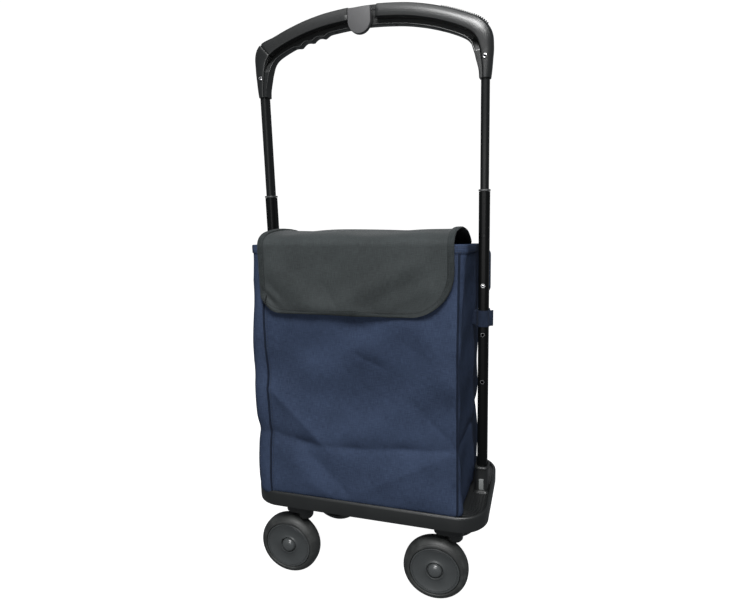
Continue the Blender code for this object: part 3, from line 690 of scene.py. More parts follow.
def build_uprights():
    """Sockets with their latches, outer tubes with lock holes, bushes and inner tubes."""
    for side, _ in SIDES:
        cx = centre_of("socket_" + side)[0]
        wx, wy, _ = half_of("socket_" + side)
        foot, top = (corner[2] for corner in box("socket_" + side))
        tlow, thigh = box("outer_tube_" + side)
        tx, ty, _ = half_of("outer_tube_" + side)
        outside = [(-0.0016, foot), (-0.0012, foot + 0.0010), (0.0004, foot + 0.0030),
                   (0.0006, foot + 0.010), (0.0008, top - 0.0065),
                   (0.0006, top - 0.0052), (-0.0001, top - 0.0042), (-0.0003, top - 0.0030),
                   (-0.0001, top - 0.0012), (0.0006, top - 0.0002),
                   (0.0014, top)]
        rings = [[(cx + x, y, z) for x, y in rounded_outline(wx - i, wy - i, 0.0066, 10)] for i,
                 z in outside]
        for grow, z in ((0.0009, top), (0.0004, top - 0.0006), (0.0003, top - 0.0016),
                        (0.0003, foot + 0.0045)):
            rings.append([(cx + x, y, z) for x, y in rounded_outline(tx + grow, ty + grow,
                                                                     min(tx + grow, 0.0066), 10)])
        socket = piece("foot_socket_" + side, *skin(rings, caps=False, loop=True), "base", 40)
        llow, lhigh = box("latch_" + side)
        wall = slab(llow[0] - 0.0004, lhigh[0] + 0.0004, -0.03, -0.0050, llow[2] - 0.0004,
                    lhigh[2] + 0.0004)
        carve(socket, [wall])
        shade(socket, 40)
        settle(socket, "base", "socket_" + side, "base_plastic")
        latch = slab(llow[0], lhigh[0], llow[1], lhigh[1], llow[2], lhigh[2], "latch")
        latch.name = "foot_latch_" + side
        round_edges(latch, 0.0006, 3)
        settle(latch, "latch_" + side, "latch_" + side, "grey_plastic")
        # The rims round the three lower holes are bright steel: painted highlights where the hole edges catch the
        # light. The top hole's rim has the tube's coat.
        for k, z in enumerate(lock_holes(side)):
            rim = [(0.0024, 0.0002), (0.0025, 0.0005), (0.0029, 0.0005), (0.0031, 0.0001),
                   (0.0031, -0.0006), (0.0024, -0.0006)]
            turned("hole_rim_%s_%d" % (side, k + 1), rim, "steel" if k else "tube",
                   facing_front(cx, tlow[1], z), 32, True,
                   body="base", slot="steel")
        build_tube("upright_outer_" + side, cx, tx, ty, OUTER_WALL, tlow[2], thigh[2], "tube",
                   lock_holes(side), "base", "outer_tube_" + side)
        ilow, ihigh = box("inner_tube_" + side)
        ix, iy, _ = half_of("inner_tube_" + side)
        build_tube("upright_inner_" + side, cx, ix, iy, INNER_WALL, ilow[2], ihigh[2], "tube_inner", [],
                   "handle",
                   "inner_tube_" + side)
        blow, bhigh = box("bush_" + side)
        bx, by, _ = half_of("bush_" + side)
        rim = [(0.0002, blow[2]), (0, blow[2] + 0.0004), (0, bhigh[2] - 0.0008),
               (0.0003, bhigh[2] - 0.0002), (0.0008, bhigh[2])]
        bore = [(0.0019, bhigh[2] - 0.0002), (0.0021, blow[2] + 0.0004), (0.0019, blow[2])]
        rings = [[(cx + x, y, z) for x, y in rounded_outline(bx - i, by - i, bx * 0.72 - i, 10)] for i,
                 z in rim + bore]
        piece("tube_bush_" + side, *skin(rings, caps=False, loop=True), "bush", 50, body="base",
              stands_for="bush_" + side,
              slot="grey_plastic")
        face = box("lock_pin_" + side)[0][1]
        dome = [(0, 0), (0.0019, 0), (0.0019, 0.0044), (0.0016, 0.0051), (0.0009, 0.0056), (0, 0.0058)]
        turned("lock_button_" + side, dome, "steel", facing_front(cx, face + 0.0030,
                                                                  centre_of("lock_pin_" + side)[2]), 32,
               body="lock_pin_" + side, stands_for="lock_pin_" + side, slot="steel")


def lock_holes(side):
    """Heights of the holes in the front of an outer tube: the lock pin sits in the second from the top."""
    pitch = joint_of("handle_slide")["range_m"][1]
    pin = centre_of("lock_pin_" + side)[2]
    return [pin + pitch - k * pitch for k in range(4)]


def build_tube(name, cx, hx, hy, wall, z0, z1, kind, holes, body, node):
    """Rounded flat tube with round holes through its front wall."""
    rings = []
    edge = 0.0003
    radius = hx * 0.78
    for inset, z in ((edge, z0), (0, z0 + edge), (0, z1 - edge), (edge, z1), (wall - edge, z1),
                     (wall, z1 - edge), (wall, z0 + edge),
                     (wall - edge, z0)):
        rings.append([(cx + x, y, z) for x, y in rounded_outline(hx - inset, hy - inset, radius - inset,
                                                                 12)])
    tube = piece(name, *skin(rings, caps=False, loop=True), kind, 40)
    cutters = [bar((cx, -hy - 0.01, z), (cx, -hy + 0.004, z), 0.0025) for z in holes]
    if holes:
        for drop, half in ((0.0085, 0.0022), (0.0175, 0.0022)):
            cutters.append(slab(cx - half, cx + half, -hy - 0.01, -hy + 0.0007, z1 - drop - 0.0007,
                                z1 - drop + 0.0007))
        carve(tube, cutters)
        shade(tube, 40)
    return settle(tube, body, node, "coated_tube")


# ---------------------------------------------------------------- casters


def caster_frame(name):
    """Kingpin and axle of a caster, and the matrix from its own axes, trail toward -X, to the frame."""
    king, hub = Vector(joint_of(name + "_swivel")["pos_m"]), Vector(joint_of(name + "_spin")["pos_m"])
    trail = math.hypot(hub.x - king.x, hub.y - king.y)
    angle = math.atan2(hub.y - king.y, hub.x - king.x) - math.pi
    spot = Matrix.Translation((king.x, king.y, 0)) @ Matrix.Rotation(angle, 4, "Z")
    return spot, trail, hub.z


WHEEL_HALF, HUB_RIBS = 0.01425, 10


def build_wheels():
    """Tyre, dished hub with its rings, and domed cap, on each axle."""
    for name in CASTERS:
        spot, trail, radius = caster_frame(name)
        wheel = spot @ Matrix.Translation((-trail, 0, radius)) @ Matrix.Rotation(math.pi / 2, 4, "X")
        half = WHEEL_HALF
        body = "wheel_" + name
        side = [(0.0376, half - 0.0022), (0.0380, half - 0.0006), (0.0390, half), (0.0405, half),
                (0.0425, half - 0.0006),
                (0.0434, half - 0.0014), (0.0438, half - 0.0012), (0.0452, half - 0.0024),
                (0.0470, half - 0.0046), (0.0482, half - 0.0070),
                (0.0488, half - 0.0095), (radius, half - 0.0118)]
        profile = [tuple(p) for p in spline(side, 4)]
        profile += [(radius, 0), *[(r, -z) for r, z in profile[::-1]]]
        turned(name + "_tread", profile, "tyre", wheel, 120, True, 42, body=body,
               stands_for=name + "_tyre", slot="tyre_rubber")
        face = [(0.0047, half - 0.0066), (0.0120, half - 0.0066), (0.0124, half - 0.0060),
                (0.0126, half - 0.0034), (0.0130, half - 0.0026),
                (0.0138, half - 0.0023), (0.0145, half - 0.0029), (0.0176, half - 0.0037),
                (0.0240, half - 0.0036), (0.0300, half - 0.0026),
                (0.0334, half - 0.0015), (0.0338, half - 0.0022), (0.0344, half - 0.0022),
                (0.0348, half - 0.0011), (0.0362, half - 0.0009),
                (0.0370, half - 0.0014), (0.0372, half - 0.0024)]
        back = [(0.0372, -half + 0.0024), (0.0366, -half + 0.0016), (0.0330, -half + 0.0016),
                (0.0322, -half + 0.0030),
                (0.0318, -half + 0.0090), (0.0140, -half + 0.0090), (0.0130, -half + 0.0060),
                (0.0124, -half + 0.0012),
                (0.0047, -half + 0.0012)]
        turned(name + "_disc", face + back, "hub", wheel, 120, True, 34, body=body,
               stands_for=name + "_hub", slot="hub_plastic")
        for k in range(HUB_RIBS):
            rib = slab(0.0120, 0.0322, -0.0007, 0.0007, -half + 0.0022, -half + 0.0094, "hub")
            rib.data.transform(wheel @ Matrix.Rotation(k * 2 * math.pi / HUB_RIBS, 4, "Z"))
            rib.name = "%s_hub_rib_%d" % (name, k)
            settle(rib, body, (), "hub_plastic")
        z = half - 0.0062
        dome = [(0, z), (0.0108, z), (0.0112, z + 0.0006), (0.0111, z + 0.0022), (0.0106, z + 0.0030)]
        dome += [(0.0104 * math.cos(a) ** 0.8,
                  z + 0.0032 + 0.0046 * math.sin(a)) for a in np.linspace(0.10, math.pi / 2, 12)]
        dome[-1] = (0, dome[-1][1])
        turned(name + "_dome", dome, "cap", wheel, 64, False, 34, body=body, stands_for=name + "_hub_cap",
               slot="hub_plastic")


def convex_outline(points):
    """The points on the convex edge of a set, in order round it."""
    points = sorted(set((round(x, 7), round(y, 7)) for x, y in points))
    halves = []
    for run in (points, points[::-1]):
        chain = []
        for p in run:
            while len(chain) > 1:
                (ax, ay), (bx, by) = chain[-2], chain[-1]
                if (bx - ax) * (p[1] - ay) - (by - ay) * (p[0] - ax) > 1e-12:
                    break
                chain.pop()
            chain.append(p)
        halves.append(chain[:-1])
    return halves[0] + halves[1]


def circle(radius, x=0.0, y=0.0, count=40):
    return [(x + radius * math.cos(2 * math.pi * i / count),
             y + radius * math.sin(2 * math.pi * i / count)) for i in range(count)]


def build_forks():
    """Crown, bearing head and side arm of each caster, with its kingpin and axle."""
    top = base_sizes()[2] - 0.0012
    low, bottom = top - 0.013, top - 0.025
    near, far = WHEEL_HALF + 0.0015, WHEEL_HALF + 0.0080
    knob = 0.0192
    for name in CASTERS:
        spot, trail, radius = caster_frame(name)
        outline = convex_outline([*circle(0.0123), *circle(0.0135, knob), (-0.0078, far - 0.0008),
                                  (knob + 0.0068, far - 0.0008),
                                  (-0.0050, far), (knob + 0.0040, far)])
        crown = solid_outline("crown", outline, low, top, "fork", 0.0014)
        foot = circle(0.0104, -trail, radius)
        side = convex_outline([*foot, (-0.0060, top - 0.004), (knob + 0.0045, top - 0.004),
                               (knob + 0.0045, low - 0.002)])
        arm = solid_outline("arm", side, -far + 0.0004, -near, "fork", 0.0012,
                            Matrix.Rotation(math.pi / 2, 4, "X"))
        head = [(0, bottom), (0.0060, bottom + 0.0003), (0.0092, bottom + 0.0016),
                (0.0112, bottom + 0.0042), (0.0126, low + 0.0010),
                (0.0142, top - 0.0034), (0.0146, top - 0.0030), (0.0146, top - 0.0010),
                (0.0138, top + 0.0003), (0, top + 0.0003)]
        bearing = turned("bearing", head, "fork", Matrix.Translation((knob, 0, 0)), 64)
        carve(crown, [arm, bearing], "UNION")
        bores = [bar((0, 0, 0.06), (0, 0, 0.13), 0.0044),
                 bar((-trail, 0, radius), (-trail, 0.05, radius), 0.0044),
                 bar((-trail, far - 0.0030, radius), (-trail, 0.05, radius), 0.0071, 40)]
        carve(crown, bores)
        crown.data.transform(spot)
        crown.name = name + "_yoke"
        shade(crown, 34)
        settle(crown, "fork_" + name, name + "_fork", "base_plastic")
        for node in (name + "_kingpin", name + "_axle"):
            refinish(node, "steel")


# ---------------------------------------------------------------- handle


def rail_controls():
    """Centre line of the handle's right half: x, z, reach outward, reach inward."""
    low, high = box("inner_tube_right")
    tube = (low[0] + high[0]) / 2
    foot = box("handle_rear_shell")[0][2]
    return ((tube, foot, 0.0078, 0.0078), (tube, foot + 0.011, 0.0092, 0.0088),
            (tube - 0.0004, foot + 0.025, 0.0108, 0.0120),
            (tube - 0.0016, foot + 0.039, 0.0130, 0.0145), (tube - 0.0063, foot + 0.053, 0.0165, 0.0150),
            (tube - 0.0158, foot + 0.064, 0.0170, 0.0150), (tube - 0.0308, foot + 0.0725, 0.0155, 0.0150),
            (0.115, foot + 0.0815, 0.0150, 0.0150), (0.085, foot + 0.090, 0.0150, 0.0150),
            (0.050, foot + 0.096, 0.0150, 0.0150),
            (0.0, foot + 0.099, 0.0150, 0.0150))


def rail():
    """Stations along the whole centre line: x, z, outward, inward, normal x, normal z."""
    half = np.array(rail_controls())
    whole = np.vstack([half * (-1, 1, 1, 1), half[-2::-1]])
    line = spline(whole, 12)
    along = np.gradient(line[:, :2], axis=0)
    along[0], along[-1] = (0, 1), (0, -1)
    along /= np.linalg.norm(along, axis=1)[:, None]
    return np.hstack([line, -along[:, 1:2], along[:, 0:1]])


def rail_part(x0, x1):
    """The stations between two x values. None means the foot of that side's leg."""
    line = rail()
    arch = np.nonzero((line[:, 1] > LEGS_BELOW) & (np.abs(line[:, 0]) < abs(line[0, 0]) - 0.004))[0]

    def at(x):
        return np.array([np.interp(x, line[arch, 0], line[arch, k]) for k in range(6)])

    first, last, head, tail = 0, len(line) - 1, [], []
    if x0 is not None:
        first = next(i for i in arch if line[i, 0] > x0 + 0.0016)
        head = [at(x0), at(x0 + 0.0008)]
    if x1 is not None:
        last = next(i for i in reversed(arch) if line[i, 0] < x1 - 0.0016)
        tail = [at(x1 - 0.0008), at(x1)]
    return head + [line[i] for i in range(first, last + 1)] + tail


BUMPS = (-0.109, -0.0885, -0.068)
BUMP_RISE, BUMP_HALF, LEGS_BELOW = 0.0036, 0.0098, 0.8
MOULD_DEPTH, LEG_THINNER = 0.0128, 0.10
BORE_GAP, BORE_FOOT = 0.0003, 0.73


def finger_bump(x, z):
    """Rise of the finger bumps under the grip."""
    if z < LEGS_BELOW:
        return 0.0
    return sum(BUMP_RISE * max(0.0, 1 - abs(x - b) / BUMP_HALF) ** 1.5 for b in BUMPS)


def elbow_bulge(x, z):
    """The left elbow is fuller at its outer corner."""
    return 0.0048 * math.exp(-(math.hypot(x + 0.1575, z - 0.8125) / 0.0125) ** 2)


def leg_share(z):
    """0 on the arch, 1 down in the legs."""
    return clip((0.812 - z) / 0.022)


def front_outline(x, z, outward, inward):
    """Section of a front moulding: top band, crease, bellied face, lower edge."""
    share = leg_share(z)
    deep = MOULD_DEPTH * (1 - LEG_THINNER * share)
    part = 0.0007
    points = [(0.985, part), (0.985, -0.05 * deep), (0.94, -0.34 * deep), (0.86, -0.60 * deep),
              (0.80, -0.685 * deep), (0.42, -0.93 * deep),
              (-0.02, -1.0 * deep), (-0.30, -0.98 * deep), (-0.36, -0.90 * deep), (-0.36, part)]
    outward += elbow_bulge(x, z)
    points = [(u * (outward if u > 0 else inward), v) for u, v in points]
    return fillet(points, [0.0005, 0.0006, 0.0016, 0.0008, 0.0008, 0.004, 0.003, 0.0010, 0.0007, 0.0003], 3)


def rear_outline(x, z, outward, inward):
    """Section of the rear moulding: round back, lower lip, floor of the recess."""
    share = leg_share(z)
    deep = MOULD_DEPTH * (1 - LEG_THINNER * share)
    lip = -0.0065 * (1 - share) - 0.0106 * share
    floor = 0.0004 * (1 - share) - 0.0100 * share
    part = 0.0010
    points = [(0.985, part), (0.985, 0.20 * deep), (0.94, 0.50 * deep), (0.76, 0.83 * deep), (0.30, deep),
              (-0.45, deep), (-0.84, 0.84 * deep),
              (-1.0, 0.45 * deep), (-1.0, lip + 0.0012), (-0.95, lip), (-0.85, lip), (-0.81, floor),
              (-0.41, floor), (-0.41, part)]
    extra = finger_bump(x, z)
    outward += elbow_bulge(x, z)
    points = [(u * (outward if u > 0 else inward) - (extra if u < -0.8 else 0), v) for u, v in points]
    return fillet(points, [0.0004, 0.001, 0.002, 0.003, 0.004, 0.004, 0.003, 0.002, 0.0012, 0.0008,
                           0.0008, 0.0006, 0.0003, 0.0001], 3)


def moulding(name, outline, x0, x1, kind, ends=0.0006):
    """One handle moulding, swept along the centre line, its free ends slightly drawn in."""
    stations = rail_part(x0, x1)
    last = len(stations) - 1
    rings = []
    for i, (x, z, outward, inward, nx, nz) in enumerate(stations):
        points = np.array(outline(x, z, outward, inward))
        if (i == 0 and x0 is not None) or (i == last and x1 is not None):
            arms = points - points.mean(axis=0)
            reach = np.maximum(np.linalg.norm(arms, axis=1), 1e-6)[:, None]
            points = points.mean(axis=0) + arms * (1 - ends / reach)
        rings.append([(x + nx * u, v, z + nz * u) for u, v in points])
    return piece(name, *skin(rings), kind, 36)


def leg_cut(sx):
    """Cutter for the bore that takes an inner tube."""
    low, high = box("inner_tube_right")
    hx, hy = (high[0] - low[0]) / 2 + BORE_GAP, (high[1] - low[1]) / 2 + BORE_GAP
    cx = sx * (low[0] + high[0]) / 2
    rings = [[(cx + x, y, z) for x, y in rounded_outline(hx, hy, hx * 0.76, 8)] for z in (BORE_FOOT,
                                                                                          high[2] + BORE_GAP)]
    return piece("bore", *skin(rings), "dark")


def build_handle():
    """Rear moulding, left elbow, grip and right front moulding, with their bores and screw seats."""
    grip_low, grip_high = box("handle_grip")
    elbow_x, grip_x, window_x = grip_low[0] + 0.0003, grip_high[0], box("handle_right_shell")[0][0]
    rear = moulding("handle_back", rear_outline, None, None, "handle")
    elbow = moulding("handle_elbow", front_outline, None, elbow_x - 0.0006, "handle", 0.0009)
    grip = moulding("handle_grip_face", front_outline, elbow_x, grip_x, "grip", 0.0009)
    right = moulding("handle_right_face", front_outline, window_x, None, "handle", 0.0005)
    tab_low, tab_high = box("release_tab")
    carve(rear, [leg_cut(-1), leg_cut(1), slab(tab_low[0] - 0.001, tab_high[0] + 0.001, -0.03, 0.0008,
                                               tab_high[2] - 0.043, tab_high[2] - 0.015)])
    for obj, (side, sx) in zip((elbow, right), SIDES):
        low = box("leg_screw_" + side)[0]
        x, _, z = centre_of("leg_screw_" + side)
        carve(obj, [leg_cut(sx), bar((x, -0.03, z), (x, low[1] + 0.0024, z), 0.0040, 40),
                    bar((x, -0.03, z), (x, -0.004, z), 0.0019)])
        screw = [(0, 0.0040), (0.0017, 0.0040), (0.0017, 0), (0.0031, 0), (0.0031, -0.0009),
                 (0.0028, -0.0015), (0.0022, -0.0017),
                 (0.0018, -0.0016), (0.0016, 0.0016), (0, 0.0016)]
        matrix = Matrix.Translation((x, low[1] + 0.0022, z)) @ Matrix.Rotation(-math.pi / 2, 4, "X")
        turned("handle_screw_" + side, screw, "steel", matrix, 48, body="handle",
               stands_for="leg_screw_" + side, slot="steel")
    lip, line = [], rail()
    for k in range(4):
        middle = Vector(centre_of("lip_screw_%d" % (k + 1)))
        i = int(np.argmin(np.hypot(line[:, 0] - middle.x, line[:, 1] - 0.0137 - middle.z)))
        inward = Vector((line[i, 4], 0, line[i, 5]))
        lip.append((middle, inward))
        carve(rear, [bar(middle - inward * 0.01, middle + inward * 0.0009, 0.0026)])
    for obj, node in ((rear, "handle_rear_shell"), (elbow, "handle_left_elbow"), (grip, "handle_grip"),
                      (right, "handle_right_shell")):
        shade(obj, 36)
        settle(obj, "handle", node, "handle_plastic")
    for k, (middle, inward) in enumerate(lip):
        turn = inward.to_track_quat("Z", "Y").to_matrix().to_4x4()
        head = [(0, -0.0014), (0.0009, -0.0014), (0.0017, -0.0013), (0.0023, -0.0008), (0.0025, 0),
                (0.0022, 0.0007), (0, 0.0007)]
        turned("handle_lip_screw_%d" % (k + 1), head, "dark", Matrix.Translation(middle) @ turn, 32,
               body="handle",
               stands_for="lip_screw_%d" % (k + 1), slot="steel")
    refinish("tab_pivot", "dark")


def build_tab():
    """Half-round release tab with a softly crowned face."""
    low, high = box("release_tab")
    middle, half = (low[0] + high[0]) / 2, (high[0] - low[0]) / 2 - 0.0001
    centre_z = low[2] + half
    outline = [(middle + half * math.cos(math.pi * (1 + i / 40)),
                centre_z + half * math.sin(math.pi * (1 + i / 40))) for i in range(41)]
    outline += [(middle + half, high[2]), (middle - half, high[2])]
    tab = solid_outline("handle_tab", outline, -high[1], -low[1], "tab", 0.0011,
                        Matrix.Rotation(math.pi / 2, 4, "X"), 30)
    settle(tab, "release_tab", "release_tab", "tab_plastic")


def build_handle_ribs():
    """Fine grip ribs across the top of the right side of the handle."""
    rows = []
    for x, z, outward, _, nx, nz in rail_part(0.104, 0.158):
        reach = outward * 0.985 - 0.0001
        rows.append(((x + nx * reach, 0.0012, z + nz * reach), (nx, 0, nz)))
    stitch_row("handle_top_ribs", [rows], "handle", "handle", 0.0031, 0.0017, 0.0070, 0.0042, 2,
               "handle_plastic")


# ---------------------------------------------------------------- bag


def bag_sizes():
    low, high = box("bag_body")
    return high[0], high[1], low[2], high[2]


# Folds of the front panel: from x, z to x, z, height outward, half width, 1 for a crease or 0 for a swell
FOLDS = (
    (-0.150, 0.243, -0.088, 0.226, -0.0050, 0.014, 1),
    (-0.092, 0.227, -0.012, 0.226, -0.0052, 0.015, 1),
    (-0.018, 0.226, 0.070, 0.233, -0.0052, 0.016, 1),
    (0.064, 0.232, 0.150, 0.240, -0.0055, 0.015, 1),
    (-0.146, 0.312, -0.070, 0.236, 0.0050, 0.013, 1),
    (-0.148, 0.335, -0.010, 0.415, -0.0040, 0.026, 0),
    (-0.060, 0.330, 0.060, 0.415, 0.0038, 0.024, 0),
    (0.000, 0.372, 0.036, 0.356, -0.0020, 0.007, 1),
    (-0.020, 0.232, 0.120, 0.330, 0.0034, 0.022, 0),
    (-0.095, 0.222, -0.030, 0.165, -0.0030, 0.012, 1),
    (0.140, 0.236, 0.010, 0.168, 0.0034, 0.016, 1),
    (-0.130, 0.215, -0.060, 0.160, 0.0030, 0.016, 0),
    (-0.120, 0.285, -0.135, 0.405, 0.0022, 0.012, 1),
    (0.085, 0.300, 0.140, 0.250, -0.0026, 0.013, 1),
    (0.090, 0.420, 0.140, 0.330, 0.0026, 0.016, 0),
)


def bell(value, centre, width):
    """1 at the centre, falling away smoothly on both sides."""
    return math.exp(-((value - centre) / width) ** 2)


def clip(value, low=0.0, high=1.0):
    return float(np.clip(value, low, high))


def fold_height(x, z, folds):
    """Height of the folds at a point of a panel: a ridge along each line, dying away at its ends."""
    total = 0.0
    for x0, z0, x1, z1, height, width, sharp in folds:
        dx, dz = x1 - x0, z1 - z0
        run = math.hypot(dx, dz)
        along = ((x - x0) * dx + (z - z0) * dz) / run ** 2
        if -0.35 < along < 1.35:
            away = abs((x - x0) * dz - (z - z0) * dx) / run
            if away < width * 4:
                fade = min(1.0, (along + 0.35) / 0.35, (1.35 - along) / 0.35)
                crease = math.exp(-math.sqrt((away / width) ** 2 + 0.012) * 1.3)
                shape = crease if sharp else bell(away, 0.0, width)
                total += height * shape * fade * fade * (3 - 2 * fade)
    return total


def bag_give(x, y, z, nx, ny):
    """How far the cloth stands out of the plain box at a point, along its outward normal."""
    hx, hy, floor, mouth = bag_sizes()
    rise = z - floor
    up = rise / (mouth - floor)
    hem, low = clip((mouth - 0.014 - z) / 0.04), clip(rise / 0.012, 0.25)
    fore, edge = clip((0.030 - y) / (hy + 0.030)), clip((hx - abs(x)) / 0.014)
    give = 0.0
    if ny < -0.01:
        folds = fold_height(x, z, FOLDS) * (0.35 + 0.65 * edge) * low * 0.85
        swell = 0.0080 * bell(rise, 0, 0.055)
        ripple = 0.0007 * math.sin(x * 58 + z * 41) * math.sin(z * 63 - x * 22 + 1.0)
        hollow = 0.0085 * bell(rise, 0.175, 0.062) * (1 - (x / hx) ** 4)
        dent = 0.0034 * bell(x, -0.085, 0.05) * bell(rise, 0.24, 0.06)
        give += -ny * hem * (folds + swell + ripple - hollow - dent)
        give -= -ny * 0.0036 * bell(rise, 0.325, 0.034)
    if nx < -0.01:
        room = clip((-0.016 - y) / 0.020)
        swell = 0.0125 * room * fore ** 0.5 * min(1.0, (1 - up) * 2.2)
        ripple = 0.0008 * math.sin(z * 60 + y * 40)
        give += -nx * 0.0066 * room * fore ** 0.5
        give += -nx * hem * (swell + ripple - 0.0030 * room * bell(rise, 0.105, 0.014))
    if nx > 0.01:
        hollow = 0.0030 * fore + 0.0050 * math.sin(math.pi * clip(up) ** 0.8) * (0.2 + 0.6 * fore)
        ridge = 0.0052 * math.exp(-math.sqrt(((y - 0.006) / 0.016) ** 2 + 0.02)) * low
        fold = (rise - 0.098 - 0.10 * (y + hy)) / 0.012
        valley = 0.0045 * math.exp(-math.sqrt(fold ** 2 + 0.02)) * low
        ripple = 0.0013 * math.sin(z * 74 + y * 30) * math.sin(y * 60 + 0.8)
        give += nx * hem * (ridge + ripple - hollow - valley)
    return give * sizes().sag


def bag_outline(share):
    """One level of the bag, drawn in a little at the floor, its wall standing out by its folds."""
    hx, hy, floor, mouth = bag_sizes()
    inset = float(np.interp(share, (0, 0.006, 0.02, 0.06, 1), (0.0045, 0.0018, 0.0006, 0.0, 0.0)))
    flat = rounded_outline(hx - inset, hy - inset, 0.011, 8, (36, 36, 100, 36))
    ring = []
    for i, (x, y) in enumerate(flat):
        a, b = np.array(flat[i - 1]), np.array(flat[(i + 1) % len(flat)])
        t = (b - a) / max(1e-9, np.linalg.norm(b - a))
        nx, ny = float(t[1]), float(-t[0])
        slope = float(np.interp(y, (-hy, hy), (mouth, mouth - 0.014)))
        z = floor + share * (slope - floor)
        g = bag_give(x, y, z, nx, ny)
        lean = -0.0035 * max(0.0, x / hx) * min(1.0, (1 - share) * 2.5)
        ring.append((x + nx * g + lean, y + ny * g, z))
    return ring


def build_bag():
    """Bag: soft lofted shell, its lining, corner seams, hem and stitching."""
    _, _, floor, mouth = bag_sizes()
    shares = np.unique(np.concatenate([np.linspace(0, 0.05, 10), np.linspace(0.05, 1.0, 140)]))
    rings = [bag_outline(s) for s in shares]
    first = np.array(rings[0])
    centre = first.mean(axis=0)
    bottoms = []
    for k in (0.0, 0.35, 0.7, 0.93):
        ring = centre + (first - centre) * k
        ring[:, 2] = floor + 0.0002
        bottoms.append([tuple(p) for p in (ring if k else centre + (first - centre) * 0.02)])
    all_rings = bottoms + rings
    heights = np.concatenate([[-0.08, -0.05, -0.03, -0.01], shares * (mouth - floor)])
    verts, faces, uvs = skin(all_rings, caps=False, metres=(metres_round(rings[60]), heights))
    faces.append(tuple(range(len(rings[0]))))
    uvs += [(p[0], p[1]) for p in all_rings[0]]
    shell = piece("bag_shell", verts, faces, "bag", 60, uvs)
    wall = shell.modifiers.new("wall", "SOLIDIFY")
    wall.thickness = sizes().cloth_thickness
    wall.offset = -1
    bake(shell)
    shade(shell, 60)
    settle(shell, "base", "bag_body", "bag_fabric")
    build_bag_seams(rings, shares)
    refinish("bag_board", "board")


def metres_round(ring):
    """Distance round a closed ring at each of its points and back at the first."""
    return np.concatenate([[0], np.cumsum(np.linalg.norm(np.diff(np.array(ring + ring[:1]), axis=0),
                                                         axis=1))])


def ribbon(name, path, width, rise, kind, body, slot):
    """Flat raised strip along a path of (point, normal): for welts, hems and tapes."""
    points = [np.array(p, float) for p, _ in path]
    normals = [np.array(n, float) for _, n in path]
    rings = []
    length = [0.0]
    for i, (p, n) in enumerate(zip(points, normals)):
        a, b = points[max(i - 1, 0)], points[min(i + 1, len(points) - 1)]
        t = (b - a) / max(1e-9, np.linalg.norm(b - a))
        side = np.cross(n, t)
        side /= max(1e-9, np.linalg.norm(side))
        half = width / 2
        section = [(-half, -0.0004), (-half * 0.96, rise * 0.55), (-half * 0.75, rise), (0, rise * 1.08),
                   (half * 0.75, rise),
                   (half * 0.96, rise * 0.55), (half, -0.0004)]
        rings.append([tuple(p + side * u + n * v) for u, v in section])
        if i:
            length.append(length[-1] + float(np.linalg.norm(p - points[i - 1])))
    u = np.linspace(0, width * 1.2, 8)
    verts, faces, uvs = skin(rings, True, True, metres=(u, length))
    return piece(name, verts, faces, kind, 50, uvs, body=body, slot=slot)


SEAM_WIDTH, HEM_WIDTH, HEM_DROP, TAPE_RISE = 0.0030, 0.0125, 0.0062, 0.0011
FLAP_THICK, BINDING_THICK, ROOT_WIDTH, ROOT_RISE = 0.0014, 0.0016, 0.0100, 0.0010
STRAP_RISE, STRAP_ROOT_RISE = 0.0014, 0.0013


def build_bag_seams(rings, shares):
    """Welted seams up the four corners and the turned hem round the mouth."""
    hx, hy, _, _ = bag_sizes()
    ring = rings[70]
    index = {}
    for label, x, y in (("front_left", -hx + 0.0062, -hy), ("front_right", hx - 0.0115, -hy),
                        ("rear_left", -hx + 0.0115, hy), ("rear_right", hx - 0.0115, hy)):
        index[label] = min(range(len(ring)), key=lambda i: abs(ring[i][0] - x) + abs(ring[i][1] - y))

    def normal(ring, i):
        a, b = np.array(ring[i - 1]), np.array(ring[(i + 1) % len(ring)])
        t = (b - a) / np.linalg.norm(b - a)
        return np.array((t[1], -t[0], 0.0))

    for label, i in index.items():
        path = [(np.array(ring[i]), normal(ring, i)) for ring, s in zip(rings, shares) if 0.004 < s < 0.985]
        # The welts have the dark seam tape: painted shade of the seam's groove.
        ribbon("bag_seam_" + label, path, SEAM_WIDTH, TAPE_RISE, "seam", "base", "bag_fabric")
        side = -1 if "left" in label else 1
        inner = [(p + np.array((-side * 0.0042, 0, 0)) + n * 0.0003, n) for p, n in path]
        stitch_row("bag_seam_stitch_" + label, [inner], "bag_thread", "base", seed=3)
    hem_path = []
    top = rings[-1]
    for i in list(range(len(top))) + [0]:
        n = normal(top, i)
        hem_path.append((np.array(top[i]) + n * 0.0002 + np.array((0, 0, -HEM_DROP)), n))
    ribbon("bag_hem", hem_path, HEM_WIDTH, TAPE_RISE, "bag", "base", "bag_fabric")
    for k, drop in enumerate((0.0035, 0.0105)):
        line = [(p + n * TAPE_RISE + np.array((0, 0, HEM_DROP - drop)), n) for p, n in hem_path]
        stitch_row("bag_hem_stitch_%d" % k, [line], "bag_thread", "base", seed=5 + k)


def flap_line():
    """Side view of the flap, from the rear of the mouth over the top and down the front: y, z."""
    low = box("bag_flap")[0]
    _, hy, _, mouth = bag_sizes()
    control = [(hy - 0.0020, mouth - 0.0127), (0.068, mouth - 0.0022), (0.040, mouth + 0.0075),
               (0.005, mouth + 0.0122), (-0.035, mouth + 0.0138),
               (-0.065, mouth + 0.0128), (-0.080, mouth + 0.0096), (-0.0885, mouth + 0.0028),
               (low[1] + 0.0012, mouth - 0.0070),
               (low[1] + 0.0010, mouth - 0.030), (low[1] + 0.0012, mouth - 0.060),
               (low[1] + 0.0010, low[2] + 0.0006)]
    return spline(control, 10)


